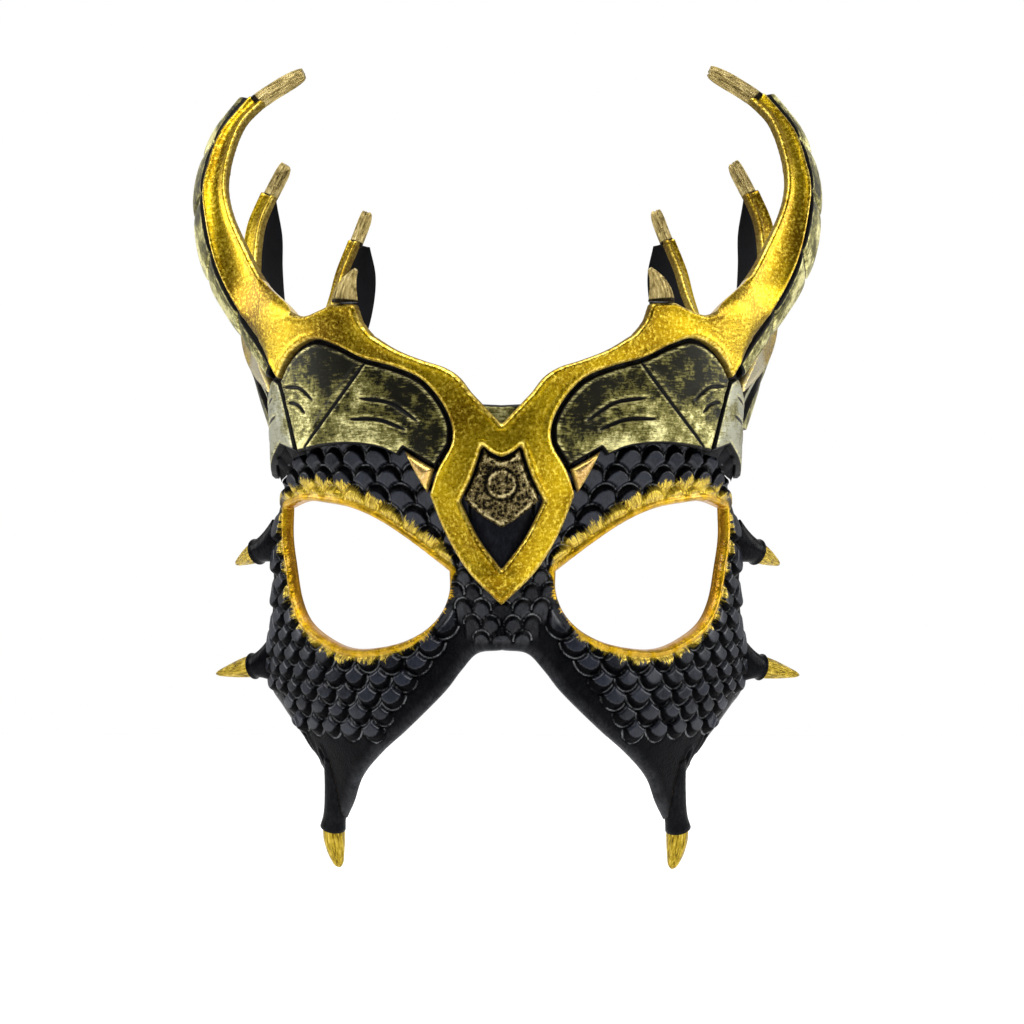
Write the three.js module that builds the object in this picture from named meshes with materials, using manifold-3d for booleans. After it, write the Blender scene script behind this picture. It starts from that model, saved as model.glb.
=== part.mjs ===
// A dragon half mask of moulded leather, as worn: a black scaled face shell, and over it
// a gold and bronze crown that wraps the sides of the head and carries three pairs of horns.
// Millimetres. X runs to the right as seen from the front, Y back into the head, Z up.
// The origin is on the inside of the nose bridge, at the top edge of the nose notch.

import * as THREE from 'three';
import Module from 'manifold-3d';

const wasm = await Module();
wasm.setup();

// Driving dimensions
const SHELL_THICKNESS = 2.5;
const CROWN_CLEARANCE = 3.4;
const FRAME_THICKNESS = 2.8;
const PLATE_THICKNESS = 2.2;
const HORN_THICKNESS = 2.4;
const SEAM = 0.45;
const FOLD_STANDOFF = 4.0;
const FOLD_REACH = 26;
const TUCK = { depth: 6, fromTurn: 55, toTurn: 72, fullRise: 60, endRise: 88 };
const STRAP_LIFT = 0.2;
const HORN_DISH = 1;
const HORN_FLANK_BOW = 1;
const WING_FLANK_BOW = 1.5;
const RIDGE_MARGIN = 0.6;
const FLANK_SETBACK = HORN_THICKNESS + SEAM + RIDGE_MARGIN;
const LARGEST_INSET = 0.6;

// Fineness of the patterns
const PATTERN_SPACING = 6.5;
const TRIM_SPACING = 3.2;
const ROW_STEP = Math.sqrt(3) / 2;
const FILL_CLEARANCE = 0.55;
const EVENING_PASSES = 80;
const TINY = 1e-6;
const SLIVER = 1e-3;
const ARC_PER_DEGREE = 1.4;
const DEGREE = Math.PI / 180;

// The head that the leather was moulded on: a half ellipse at each height.
// Columns: rise, half width, depth, front, nose ridge height, nose ridge half width
const HEAD_FORM = [
  [-75, 57, 64, 26, 0, 15],
  [-45, 68, 73, 17, 0, 15],
  [-20, 76, 79, 11, 4, 15],
  [0, 78, 83, 9, 9, 16],
  [25, 77.5, 85, 8, 9, 20],
  [50, 76, 87, 6, 7, 30],
  [75, 76, 90, 4, 5, 36],
  [90, 81, 93, 3, 4, 40],
  [105, 88, 97, 2, 3, 42],
];

// The temple fold of the crown. Columns: rise, turn
const TEMPLE_FOLD = [
  [40, 43],
  [54, 44.5],
  [76, 50.8],
  [86, 54.5],
  [98, 59],
];

function interpolant(table) {
  const columns = table[0].length - 1;
  const places = table.map((row) => row[0]);
  const values = table.flatMap((row) => row.slice(1));
  return new THREE.CubicInterpolant(places, values, columns, new Float64Array(columns));
}

const formAt = interpolant(HEAD_FORM);
const foldAt = interpolant(TEMPLE_FOLD);

// A point at a turn round the head and a rise above the nose notch, lifted off the form.
function onForm(turn, rise, lift) {
  const [halfWidth, depth, front, ridge, ridgeHalf] = formAt.evaluate(rise);
  const x = (halfWidth + lift) * Math.sin(turn * DEGREE);
  const bump = Math.abs(x) < ridgeHalf ? ridge * Math.cos((Math.PI * x) / (2 * ridgeHalf)) ** 2 : 0;
  const y = front - lift + (depth + lift) * (1 - Math.cos(turn * DEGREE)) - bump;
  return new THREE.Vector3(x, y, rise);
}

// The crown stands off the shell, most of all along the temple fold, and behind the shell
// its lower edge is tucked in to the side of the head.
function onCrown(turn, rise, lift) {
  const away = Math.abs(Math.abs(turn) - foldAt.evaluate(rise)[0]);
  const tent = Math.max(0, 1 - away / FOLD_REACH);
  const behind = THREE.MathUtils.smoothstep(Math.abs(turn), TUCK.fromTurn, TUCK.toTurn);
  const low = 1 - THREE.MathUtils.smoothstep(rise, TUCK.fullRise, TUCK.endRise);
  return onForm(turn, rise, lift + CROWN_CLEARANCE + FOLD_STANDOFF * tent - TUCK.depth * behind * low);
}

// A smooth run through [turn, rise] rows as pattern points in millimetres, without its last point.
function patternRun(rows, spacing) {
  const knots = rows.map(([turn, rise]) => new THREE.Vector3(turn * ARC_PER_DEGREE, rise, 0));
  const curve = new THREE.CatmullRomCurve3(knots, false, 'centripetal');
  const steps = Math.max(1, Math.round(curve.getLength() / spacing));
  return curve.getSpacedPoints(steps).slice(0, -1).map((p) => new THREE.Vector2(p.x, p.y));
}

// A closed pattern ring from runs that follow one another.
function ring(runs, spacing = TRIM_SPACING) {
  return runs.flatMap((rows) => patternRun(rows, spacing));
}

// Runs of the right half, from the middle line round to the middle line, doubled by mirroring.
function doubled(runs) {
  const mirror = runs.map((rows) => rows.map(([turn, rise]) => [-turn, rise]).reverse()).reverse();
  return [...runs, ...mirror];
}

function crossing(a, b, c) {
  return (b.x - a.x) * (c.y - a.y) - (b.y - a.y) * (c.x - a.x);
}

function insideRing(point, loop) {
  let inside = false;
  loop.forEach((a, i) => {
    const b = loop[(i + 1) % loop.length];
    const spans = a.y > point.y !== b.y > point.y;
    if (spans && point.x < ((b.x - a.x) * (point.y - a.y)) / (b.y - a.y) + a.x) inside = !inside;
  });
  return inside;
}

function clearOfRing(point, loop, distance) {
  return loop.every((corner) => corner.distanceTo(point) > distance);
}

// Staggered points that fill a pattern between its outline and its holes.
function fillPoints(outline, holes, spacing) {
  const box = new THREE.Box2().setFromPoints(outline);
  const rowHeight = spacing * ROW_STEP;
  const spots = [];
  let row = 0;
  for (let y = box.min.y + rowHeight / 2; y < box.max.y; y += rowHeight) {
    const shift = row % 2 ? spacing / 2 : 0;
    for (let x = box.min.x + shift; x < box.max.x; x += spacing) {
      const spot = new THREE.Vector2(x, y);
      const onLeather = insideRing(spot, outline) && !holes.some((hole) => insideRing(spot, hole));
      const clear = [outline, ...holes].every((loop) => clearOfRing(spot, loop, spacing * FILL_CLEARANCE));
      if (onLeather && clear) spots.push(spot);
    }
    row += 1;
  }
  return spots;
}

// Swaps the shared edge of face pairs until the triangles are as even as they can be.
function evenOut(points, faces) {
  for (let pass = 0; pass < EVENING_PASSES; pass += 1) {
    const edges = new Map();
    const touched = new Set();
    let swaps = 0;
    faces.forEach((face, index) => {
      face.forEach((a, corner) => edges.set(`${a},${face[(corner + 1) % 3]}`, { index, corner }));
    });
    faces.forEach((face, index) => {
      for (let corner = 0; corner < 3 && !touched.has(index); corner += 1) {
        const [a, b, c] = [face[corner], face[(corner + 1) % 3], face[(corner + 2) % 3]];
        const twin = edges.get(`${b},${a}`);
        if (!twin || touched.has(twin.index)) continue;
        const d = faces[twin.index][(twin.corner + 2) % 3];
        const convex = crossing(points[a], points[d], points[c]) > TINY
          && crossing(points[d], points[b], points[c]) > TINY;
        if (!convex || opposite(points, a, b, c) + opposite(points, b, a, d) <= Math.PI + TINY) continue;
        faces[index] = [a, d, c];
        faces[twin.index] = [d, b, c];
        touched.add(index).add(twin.index);
        swaps += 1;
      }
    });
    if (!swaps) return;
  }
}

function opposite(points, a, b, c) {
  const toA = points[a].clone().sub(points[c]);
  const toB = points[b].clone().sub(points[c]);
  return Math.acos(THREE.MathUtils.clamp(toA.dot(toB) / (toA.length() * toB.length()), -1, 1));
}

// Triangles of a flat pattern: the outline and holes first, then the fill points one by one.
function patternMesh(outline, holes, spacing) {
  const loops = [outline, ...holes];
  const points = loops.flat();
  const faces = THREE.ShapeUtils.triangulateShape(outline, holes).map(([a, b, c]) => (
    crossing(points[a], points[b], points[c]) > 0 ? [a, b, c] : [a, c, b]));
  evenOut(points, faces);
  for (const spot of fillPoints(outline, holes, spacing)) {
    const home = faces.findIndex(([a, b, c]) => crossing(points[a], points[b], spot) > SLIVER
      && crossing(points[b], points[c], spot) > SLIVER && crossing(points[c], points[a], spot) > SLIVER);
    if (home < 0) continue;
    const [a, b, c] = faces[home];
    const centre = points.push(spot) - 1;
    faces.splice(home, 1, [a, b, centre], [b, c, centre], [c, a, centre]);
  }
  evenOut(points, faces);
  return { points, faces, loops };
}

function geometryFrom(vertices, faces) {
  const volume = faces.reduce((sum, [a, b, c]) => (
    sum + vertices[a].dot(vertices[b].clone().cross(vertices[c]))), 0);
  const turned = volume > 0 ? faces : faces.map(([a, b, c]) => [a, c, b]);
  const geometry = new THREE.BufferGeometry();
  geometry.setFromPoints(vertices);
  geometry.setIndex(turned.flat());
  return geometry;
}

// A leather panel cut to a pattern and moulded on a form, from an inner to an outer lift.
function panel(outline, holes, place, innerLift, outerLift, spacing = PATTERN_SPACING) {
  const { points, faces, loops } = patternMesh(outline, holes, spacing);
  const mould = (lift) => points.map((p) => place(p.x / ARC_PER_DEGREE, p.y, lift));
  const vertices = [...mould(outerLift), ...mould(innerLift)];
  const under = points.length;
  const solid = [...faces, ...faces.map(([a, b, c]) => [a + under, c + under, b + under])];
  let start = 0;
  for (const loop of loops) {
    const clockwise = THREE.ShapeUtils.isClockWise(loop);
    const isOutline = start === 0;
    for (let i = 0; i < loop.length; i += 1) {
      const here = start + i;
      const next = start + ((i + 1) % loop.length);
      const [a, b] = clockwise === isOutline ? [next, here] : [here, next];
      solid.push([a, a + under, b], [b, a + under, b + under]);
    }
    start += loop.length;
  }
  return geometryFrom(vertices, solid);
}

function rail(rows) {
  return new THREE.CatmullRomCurve3(rows.map((row) => new THREE.Vector3(...row)), false, 'centripetal');
}

// A leather strip between two edge rails; its thickness lies on the side away from "outside".
function strip(frontRows, backRows, { thickness, bow = 0, setback = 0, outside, rows = 16, columns = 3 }) {
  const front = rail(frontRows).getSpacedPoints(rows);
  const back = rail(backRows).getSpacedPoints(rows);
  const face = front.map((from, i) => {
    const across = back[i].clone().sub(from);
    const inset = Math.min(LARGEST_INSET, setback / across.length());
    return Array.from({ length: columns + 1 }, (_, j) => (
      from.clone().addScaledVector(across, inset + ((1 - inset) * j) / columns)));
  });
  const normals = face.map((line, i) => line.map((point, j) => {
    const along = face[Math.min(i + 1, rows)][j].clone().sub(face[Math.max(i - 1, 0)][j]);
    const across = line[Math.min(j + 1, columns)].clone().sub(line[Math.max(j - 1, 0)]);
    const normal = along.cross(across).normalize();
    return normal.dot(outside) < 0 ? normal.negate() : normal;
  }));
  const outer = face.map((line, i) => line.map((point, j) => (
    point.clone().addScaledVector(normals[i][j], bow * Math.sin((Math.PI * j) / columns)))));
  const inner = outer.map((line, i) => line.map((point, j) => (
    point.clone().addScaledVector(normals[i][j], -thickness))));
  const width = columns + 1;
  const under = (rows + 1) * width;
  const vertices = [...outer.flat(), ...inner.flat()];
  const faces = [];
  const quad = (a, b, c, d) => faces.push([a, b, c], [a, c, d]);
  for (let i = 0; i < rows; i += 1) {
    for (let j = 0; j < columns; j += 1) {
      const corner = i * width + j;
      quad(corner, corner + 1, corner + width + 1, corner + width);
      quad(corner + under, corner + width + under, corner + width + 1 + under, corner + 1 + under);
    }
    const left = i * width;
    const right = left + columns;
    quad(left, left + width, left + width + under, left + under);
    quad(right, right + under, right + width + under, right + width);
  }
  for (let j = 0; j < columns; j += 1) {
    const last = rows * width + j;
    quad(j, j + under, j + 1 + under, j + 1);
    quad(last, last + 1, last + 1 + under, last + under);
  }
  return geometryFrom(vertices, faces);
}

// A tapering oval body along a bent line. Profile columns: share of the length, width, thickness.
// The body leaves its base square to the way given, and its thickness lies along "flat".
function taper(base, way, tip, profile, flat = new THREE.Vector3(0, 1, 0), sides = 10) {
  const knee = base.clone().addScaledVector(way.clone().normalize(), base.distanceTo(tip) / 2);
  const line = new THREE.QuadraticBezierCurve3(base, knee, tip);
  const vertices = profile.flatMap(([share, width, thickness]) => {
    const centre = line.getPointAt(share);
    const along = line.getTangentAt(share);
    const thickWay = flat.clone().addScaledVector(along, -flat.dot(along)).normalize();
    const wideWay = along.clone().cross(thickWay);
    return Array.from({ length: sides }, (_, k) => {
      const angle = (2 * Math.PI * k) / sides;
      return centre.clone().addScaledVector(wideWay, (width / 2) * Math.cos(angle))
        .addScaledVector(thickWay, (thickness / 2) * Math.sin(angle));
    });
  });
  const faces = [];
  for (let i = 0; i + 1 < profile.length; i += 1) {
    for (let k = 0; k < sides; k += 1) {
      const a = i * sides + k;
      const b = i * sides + ((k + 1) % sides);
      faces.push([a, b, b + sides], [a, b + sides, a + sides]);
    }
  }
  const end = (profile.length - 1) * sides;
  for (let k = 1; k + 1 < sides; k += 1) faces.push([0, k + 1, k], [end, end + k, end + k + 1]);
  return geometryFrom(vertices, faces);
}

function solidOf(geometry) {
  const vertProperties = new Float32Array(geometry.getAttribute('position').array);
  const triVerts = new Uint32Array(geometry.index.array);
  return new wasm.Manifold(new wasm.Mesh({ numProp: 3, vertProperties, triVerts }));
}

function geometryOf(solid) {
  const { vertProperties, triVerts } = solid.getMesh();
  const geometry = new THREE.BufferGeometry();
  geometry.setAttribute('position', new THREE.BufferAttribute(vertProperties, 3));
  geometry.setIndex(Array.from(triVerts));
  return geometry;
}

function joined(geometries) {
  return geometryOf(geometries.map(solidOf).reduce((whole, piece) => whole.add(piece)));
}

function mirroredGeometry(geometry) {
  const copy = geometry.clone().scale(-1, 1, 1);
  const index = Array.from(copy.index.array);
  for (let i = 0; i < index.length; i += 3) [index[i], index[i + 1]] = [index[i + 1], index[i]];
  copy.setIndex(index);
  return copy;
}

const mask = new THREE.Group();

const finishes = {
  blackLeather: { color: 0x17181c, roughness: 0.5, metalness: 0.0 },
  gold: { color: 0xb8930f, roughness: 0.35, metalness: 0.85 },
  bronze: { color: 0x6e6a3a, roughness: 0.45, metalness: 0.7 },
  darkBronze: { color: 0x4d4026, roughness: 0.5, metalness: 0.7 },
  paleGold: { color: 0xb08a4a, roughness: 0.45, metalness: 0.7 },
};

function addPiece(name, geometry, finish) {
  const mesh = new THREE.Mesh(geometry, new THREE.MeshStandardMaterial(finishes[finish]));
  mesh.name = name;
  mask.add(mesh);
}

// The right piece as made and the left one mirrored.
function addPair(name, geometry, finish) {
  addPiece(`${name}_right`, geometry, finish);
  addPiece(`${name}_left`, mirroredGeometry(geometry), finish);
}

// Face shell: half mask with eye openings and jaw points. All rows: turn, rise
const EYE_OPENING = [
  [[56, 38.5], [48, 40.5], [40, 39.8], [33, 38.3], [26, 34.8], [18.5, 28.8], [10.6, 21]],
  [[10.6, 21], [10.6, 15.5], [12, 10], [15, 5.2], [20, 1.3], [27, -1.1], [33.5, -1.6], [40, 0.8],
    [46.5, 5.3], [50.2, 11.3], [53, 20.5], [55.5, 30], [56, 38.5]],
];
const SHELL_EDGE = [
  [[0, 58.5], [12, 62], [28, 65], [40, 62.5], [50, 59]],
  [[50, 59], [55.6, 54.5], [59.2, 46.5], [61.5, 40], [64.5, 34], [66.5, 28], [65.5, 21.5], [64, 14], [65, 6],
    [69, -2], [71.5, -10], [70, -18], [62.5, -22.5], [54.5, -30], [49.5, -37]],
  [[49.5, -37], [49, -41], [51, -48], [53, -54]],
  [[53, -54], [46.5, -54]],
  [[46.5, -54], [41.3, -48], [36.2, -40], [28, -31], [22, -25], [16, -18], [11.4, -11.8], [8.4, -6.5],
    [4.8, -1.2], [0, 0]],
];
// Sleeves rolled from the shell's edge. Profile columns: share of the length, width, thickness
const CHEEK_SLEEVE = [
  [0, 15, 4],
  [0.35, 11, 6],
  [0.7, 8.2, 7],
  [0.92, 7.6, 7],
  [1, 8.4, 7.6],
];
const JAW_SLEEVE = [
  [0, 12, 4.5],
  [0.45, 8.6, 6],
  [0.85, 7, 6],
  [1, 7.8, 6.6],
];
const CHEEK_TIP = [
  [0, 7.2, 6.6],
  [0.35, 5.8, 5.4],
  [0.75, 3.2, 3],
  [1, 0.9, 0.9],
];
const JAW_TIP = [
  [0, 6.4, 5.6],
  [0.4, 6, 5.2],
  [0.8, 4, 3.6],
  [1, 1.6, 1.6],
];
// Where each sleeve starts in the leather, where it ends and where the gilded tip ends. Columns: x, y, z
const CHEEK_POINTS = {
  lower: { root: [71.5, 57, -9], cuff: [79, 61.6, -10.9], tip: [92, 67.5, -14] },
  upper: { root: [69, 53, 28], cuff: [77.6, 60.4, 24.9], tip: [86, 69, 20.8] },
};
const JAW_POINTS = { root: [47.5, 35.5, -36], cuff: [51.8, 44.5, -57.5], tip: [50, 46.5, -70] };

const point = (row) => new THREE.Vector3(...row);

function sleeve({ root, cuff }, profile) {
  return taper(point(root), point(cuff).sub(point(root)), point(cuff), profile);
}

// A tip starts two seams past the cuff of its sleeve and bends halfway from the sleeve's way to its own.
function tipAfter({ root, cuff, tip }, profile) {
  const way = point(cuff).sub(point(root)).normalize();
  const start = point(cuff).addScaledVector(way, 2 * SEAM);
  return taper(start, point(tip).sub(start).normalize().add(way), point(tip), profile);
}

function faceShell() {
  const eye = ring(EYE_OPENING);
  const otherEye = eye.map((p) => new THREE.Vector2(-p.x, p.y)).reverse();
  const leather = panel(ring(doubled(SHELL_EDGE)), [eye, otherEye], onForm, 0, SHELL_THICKNESS);
  const sleeves = [
    sleeve(CHEEK_POINTS.lower, CHEEK_SLEEVE),
    sleeve(CHEEK_POINTS.upper, CHEEK_SLEEVE),
    sleeve(JAW_POINTS, JAW_SLEEVE),
  ];
  return joined([leather, ...sleeves, ...sleeves.map(mirroredGeometry)]);
}

addPiece('face_shell', faceShell(), 'blackLeather');
addPair('cheek_spike_lower', tipAfter(CHEEK_POINTS.lower, CHEEK_TIP), 'gold');
addPair('cheek_spike_upper', tipAfter(CHEEK_POINTS.upper, CHEEK_TIP), 'gold');
addPair('jaw_claw', tipAfter(JAW_POINTS, JAW_TIP), 'gold');

// Bridge strap: a short strap behind the notch of the crown. Rows: turn, rise
const BRIDGE_STRAP = [
  [[0, 66], [7, 66.5]],
  [[7, 66.5], [8, 61.2]],
  [[8, 61.2], [0, 59.2]],
];
const strap = panel(ring(doubled(BRIDGE_STRAP)), [], onForm, STRAP_LIFT, SHELL_THICKNESS);
addPiece('bridge_strap', strap, 'bronze');

// Crown frame: V over the nose, brow arms, spur stubs and the front faces of the main horns.
// Rows: turn, rise
const FRAME_EDGE = [
  [[0, 60.7], [5.8, 69.3]],
  [[5.8, 69.3], [8.2, 73.6], [11, 76.2], [15.1, 78.3], [20.6, 81.7], [25.2, 86]],
  [[25.2, 86], [27, 90], [27.6, 94.8]],
  [[27.6, 94.8], [32.6, 95.6]],
  [[32.6, 95.6], [35.5, 94.2], [40, 93], [43.5, 95], [46.5, 99]],
  [[46.5, 99], [52, 96], [54.5, 88]],
  [[54.5, 88], [52.8, 81.5], [50.6, 76]],
  [[50.6, 76], [47.6, 80.5], [43, 84.5], [38, 86.2], [33.3, 83.9], [28.4, 80.2], [21, 76.9], [15.7, 73.3],
    [11.6, 66.8], [9.6, 60.6], [9.6, 55.8], [12.4, 48.6], [14, 42]],
  [[14, 42], [11, 32], [6.6, 21.7], [0, 12.3]],
];
const FRAME_OPENING = [
  [[0, 51.9], [1.8, 53], [3.7, 55.1]],
  [[3.7, 55.1], [5.6, 47], [7.9, 40.2]],
  [[7.9, 40.2], [4.2, 30], [0, 22]],
];
// Main horn. Ridge and inner edge of its gold front face, back edge of its flank. Columns: x, y, z
const HORN_RIDGE = [
  [69.2, 35, 82],
  [73.6, 37.5, 88],
  [80.2, 41.5, 97],
  [88.3, 46, 112.5],
  [92.2, 49, 128],
  [93.2, 51, 136.7],
  [92, 52.5, 144],
  [88.8, 55, 154.7],
  [79.8, 57.5, 167],
];
const HORN_INNER = [
  [57.5, 23.5, 88],
  [62, 27.5, 95.5],
  [71.2, 35, 105],
  [77.9, 41, 116.6],
  [83.2, 45.5, 128],
  [85.2, 48.5, 137],
  [84.4, 50.5, 146.4],
  [80.6, 53.5, 158],
  [74.6, 55.8, 164.6],
];
const HORN_BACK = [
  [69.2, 43.5, 77],
  [76.2, 53.4, 85.5],
  [85, 61.5, 96.5],
  [93, 66, 108],
  [97, 69, 118.5],
  [98.6, 71, 131],
  [97.6, 70.6, 142],
  [92, 68, 155],
  [82.8, 64.4, 165.5],
];
const FRONT_WAY = new THREE.Vector3(0.35, -1, 0.1);
const SIDE_WAY = new THREE.Vector3(1, 0.1, 0.1);
const REAR_WAY = new THREE.Vector3(0.8, 0.7, 0);

function crownFrame() {
  const opening = ring(doubled(FRAME_OPENING));
  const vee = panel(ring(doubled(FRAME_EDGE)), [opening], onCrown, 0, FRAME_THICKNESS);
  const dished = { thickness: FRAME_THICKNESS, outside: FRONT_WAY, bow: -HORN_DISH };
  const face = strip(HORN_INNER, HORN_RIDGE, dished);
  return joined([vee, face, mirroredGeometry(face)]);
}

addPiece('crown_frame', crownFrame(), 'gold');

// Medallion: a small shield with a raised ring, on the shell inside the opening of the V. Rows: turn, rise
const SHIELD_EDGE = [
  [[0, 50.9], [1.8, 52], [3.4, 54]],
  [[3.4, 54], [5, 47], [7.2, 40.6]],
  [[7.2, 40.6], [4, 36.6], [0, 33]],
];
const MEDALLION_RING = { rise: 44.7, radius: 3.3, wire: 0.7, wireSides: 6, sides: 18, halfTurn: 2.3 };

function medallion() {
  const inner = SHELL_THICKNESS + 2 * SEAM;
  const outer = inner + PLATE_THICKNESS;
  const shield = panel(ring(doubled(SHIELD_EDGE)), [], onForm, inner, outer);
  const { rise, radius, wire, wireSides, sides, halfTurn } = MEDALLION_RING;
  const circle = new THREE.TorusGeometry(radius, wire, wireSides, sides);
  circle.rotateX(Math.PI / 2);
  const seat = onForm(0, rise, outer);
  const dip = onForm(halfTurn, rise, outer).y - seat.y;
  circle.translate(seat.x, seat.y + dip / 2, seat.z);
  return joined([shield, weld(circle)]);
}

// One vertex for each place, so that the faces of a round body share their corners.
function weld(geometry) {
  const vertices = [];
  const seen = new Map();
  const source = geometry.getAttribute('position');
  const renumber = Array.from({ length: source.count }, (_, i) => {
    const place = new THREE.Vector3().fromBufferAttribute(source, i);
    const key = place.toArray().map((value) => value.toFixed(4)).join();
    if (!seen.has(key)) seen.set(key, vertices.push(place) - 1);
    return seen.get(key);
  });
  const corners = Array.from(geometry.index.array, (i) => renumber[i]);
  const faces = [];
  for (let i = 0; i < corners.length; i += 3) faces.push(corners.slice(i, i + 3));
  return geometryFrom(vertices, faces);
}

addPiece('medallion', medallion(), 'darkBronze');

// Brow plate, brow claw and temple plate. Rows: turn, rise
const BROW_PLATE = [
  [[10.2, 55.8], [10.2, 60.6], [12.1, 66.4], [16, 72.5], [21.2, 76.1], [28.6, 79.4], [33.4, 83], [38, 85.2],
    [42.6, 83.6], [46.9, 79.8], [49.9, 75.4]],
  [[49.9, 75.4], [47.6, 66], [44.2, 54.6]],
  [[44.2, 54.6], [37.6, 56], [30.8, 56.3], [24.5, 55], [20.8, 52.8]],
  [[20.8, 52.8], [19.6, 55]],
  [[19.6, 55], [12.9, 49.7]],
  [[12.9, 49.7], [10.2, 55.8]],
];
const BROW_CLAW = [
  [[19.4, 53.8], [13.3, 48.9]],
  [[13.3, 48.9], [14.7, 42.6]],
  [[14.7, 42.6], [17, 47.5], [19.4, 53.8]],
];
const TEMPLE_PLATE = [
  [[50.5, 75], [53.4, 76.4], [56.5, 74], [60, 71.8], [66, 74.6], [71.5, 78], [76.5, 81]],
  [[76.5, 81], [77, 66], [70, 56], [62.5, 47.5]],
  [[62.5, 47.5], [57.5, 51.5], [51.5, 57]],
  [[51.5, 57], [44.8, 54.8]],
  [[44.8, 54.8], [48.2, 66], [50.5, 75]],
];
addPair('brow_plate', panel(ring(BROW_PLATE), [], onCrown, 0, PLATE_THICKNESS), 'bronze');
addPair('brow_claw', panel(ring(BROW_CLAW), [], onCrown, 0, FRAME_THICKNESS), 'paleGold');
addPair('temple_plate', panel(ring(TEMPLE_PLATE), [], onCrown, 0, PLATE_THICKNESS), 'bronze');

// Pale tips. Profile columns: share of the length, width, thickness
const SPUR_TIP = [
  [0, 7, 3.2],
  [0.5, 5, 3],
  [1, 1.4, 1.4],
];
const HORN_TIP = [
  [0, 5.4, 4.4],
  [0.25, 5.4, 4.4],
  [0.9, 4.6, 3.2],
  [1, 4, 2.6],
];
// Where the spur tip stands on its stub and where it ends. Columns: turn, rise
const SPUR_POINTS = { base: [29.8, 95.6 + SEAM], end: [26, 104] };
const spurBase = onCrown(...SPUR_POINTS.base, FRAME_THICKNESS / 2);
const spurEnd = onCrown(...SPUR_POINTS.end, FRAME_THICKNESS / 2);
addPair('spur_tip', taper(spurBase, new THREE.Vector3(0, 0, 1), spurEnd, SPUR_TIP), 'paleGold');

// Flank of the main horn, then the second and third horn. Columns: x, y, z
const MID_RIDGE = [
  [71.5, 47, 73],
  [79.5, 64, 80],
  [86, 82, 89],
  [90.3, 97, 99],
  [92, 106, 110],
  [92.7, 110, 120],
  [92.5, 112, 129],
  [91, 113, 138],
  [86.5, 113.5, 149],
];
const MID_INNER = [
  [71.5, 45, 75.5],
  [76.6, 55.8, 84.5],
  [82, 71, 96],
  [84.5, 89, 104.5],
  [85.6, 99, 113],
  [86.4, 104, 121],
  [86.4, 107, 129],
  [85.2, 109, 137.5],
  [81.3, 111.3, 147],
];
// The flank of the second horn starts behind the temple plate and then follows the ridge.
const MID_FRONT = [
  [74, 70.6, 64],
  [80.6, 71.5, 79.5],
  ...MID_RIDGE.slice(2),
];
const MID_BACK = [
  [76.8, 88.5, 64],
  [79.6, 98, 72],
  [81, 115.5, 81],
  [80.5, 126, 90.5],
  [81.5, 131, 102],
  [83, 131, 114],
  [83.3, 129.5, 125],
  [82.8, 126.5, 136],
  [84.3, 120.5, 147],
];
const BACK_RIDGE = [
  [77.8, 97.8, 66],
  [79.4, 119, 74],
  [79.5, 133, 83],
  [76.5, 147, 94],
  [72.5, 157, 106],
  [69.5, 162, 118],
  [67.2, 165, 129],
  [62.5, 166, 142],
];
const BACK_INNER = [
  [78.5, 94.8, 68.5],
  [80.2, 113, 77.5],
  [79.5, 126, 87],
  [75, 140, 98],
  [70, 150, 108.5],
  [66, 156.5, 119],
  [63.4, 160.5, 129],
  [58.5, 163.2, 140.8],
];
const BACK_EDGE = [
  [75.5, 126, 64],
  [73, 141, 72],
  [69, 153, 81],
  [63.5, 164, 92],
  [58, 171, 104],
  [55, 174.5, 117],
  [54, 174.5, 129],
  [56.5, 172.8, 139.5],
];
const flank = { thickness: HORN_THICKNESS, setback: FLANK_SETBACK };

const wing = { thickness: HORN_THICKNESS, outside: FRONT_WAY };
const hornSide = { ...flank, outside: SIDE_WAY, bow: HORN_FLANK_BOW };
const midSide = { ...flank, outside: SIDE_WAY, bow: WING_FLANK_BOW };
const backSide = { ...flank, outside: REAR_WAY, bow: WING_FLANK_BOW };

addPair('horn_flank', strip(HORN_RIDGE, HORN_BACK, hornSide), 'bronze');
addPair('mid_horn', strip(MID_INNER, MID_RIDGE, wing), 'gold');
addPair('mid_flank', strip(MID_FRONT, MID_BACK, midSide), 'bronze');
addPair('back_horn', strip(BACK_INNER, BACK_RIDGE, wing), 'gold');
addPair('back_flank', strip(BACK_RIDGE, BACK_EDGE, backSide), 'bronze');

// Each horn ends in a pale tip that carries on from the end of its gold face. Columns: x, y, z
const HORN_TIPS = {
  horn_tip: { inner: HORN_INNER, ridge: HORN_RIDGE, tip: [61.9, 58, 173.5] },
  mid_tip: { inner: MID_INNER, ridge: MID_RIDGE, tip: [77, 113.5, 158.8] },
  back_tip: { inner: BACK_INNER, ridge: BACK_RIDGE, tip: [54.8, 167, 153.2] },
};
for (const [name, { inner, ridge, tip }] of Object.entries(HORN_TIPS)) {
  const innerEnd = point(inner.at(-1));
  const ridgeEnd = point(ridge.at(-1));
  const way = rail(inner).getTangent(1).add(rail(ridge).getTangent(1)).normalize();
  const facing = way.clone().cross(ridgeEnd.clone().sub(innerEnd)).normalize();
  if (facing.dot(FRONT_WAY) < 0) facing.negate();
  const start = innerEnd.lerp(ridgeEnd, 0.5).addScaledVector(way, 2 * SEAM);
  start.addScaledVector(facing, -HORN_THICKNESS);
  const straight = point(tip).sub(start).normalize();
  addPair(name, taper(start, straight.add(way), point(tip), HORN_TIP, facing), 'paleGold');
}

export default mask;
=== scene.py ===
import math

import bmesh
import bpy
import numpy as np
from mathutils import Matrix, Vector
from mathutils.bvhtree import BVHTree
from mathutils.geometry import delaunay_2d_cdt
from mathutils.interpolate import poly_3d_calc
from mathutils.kdtree import KDTree


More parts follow.
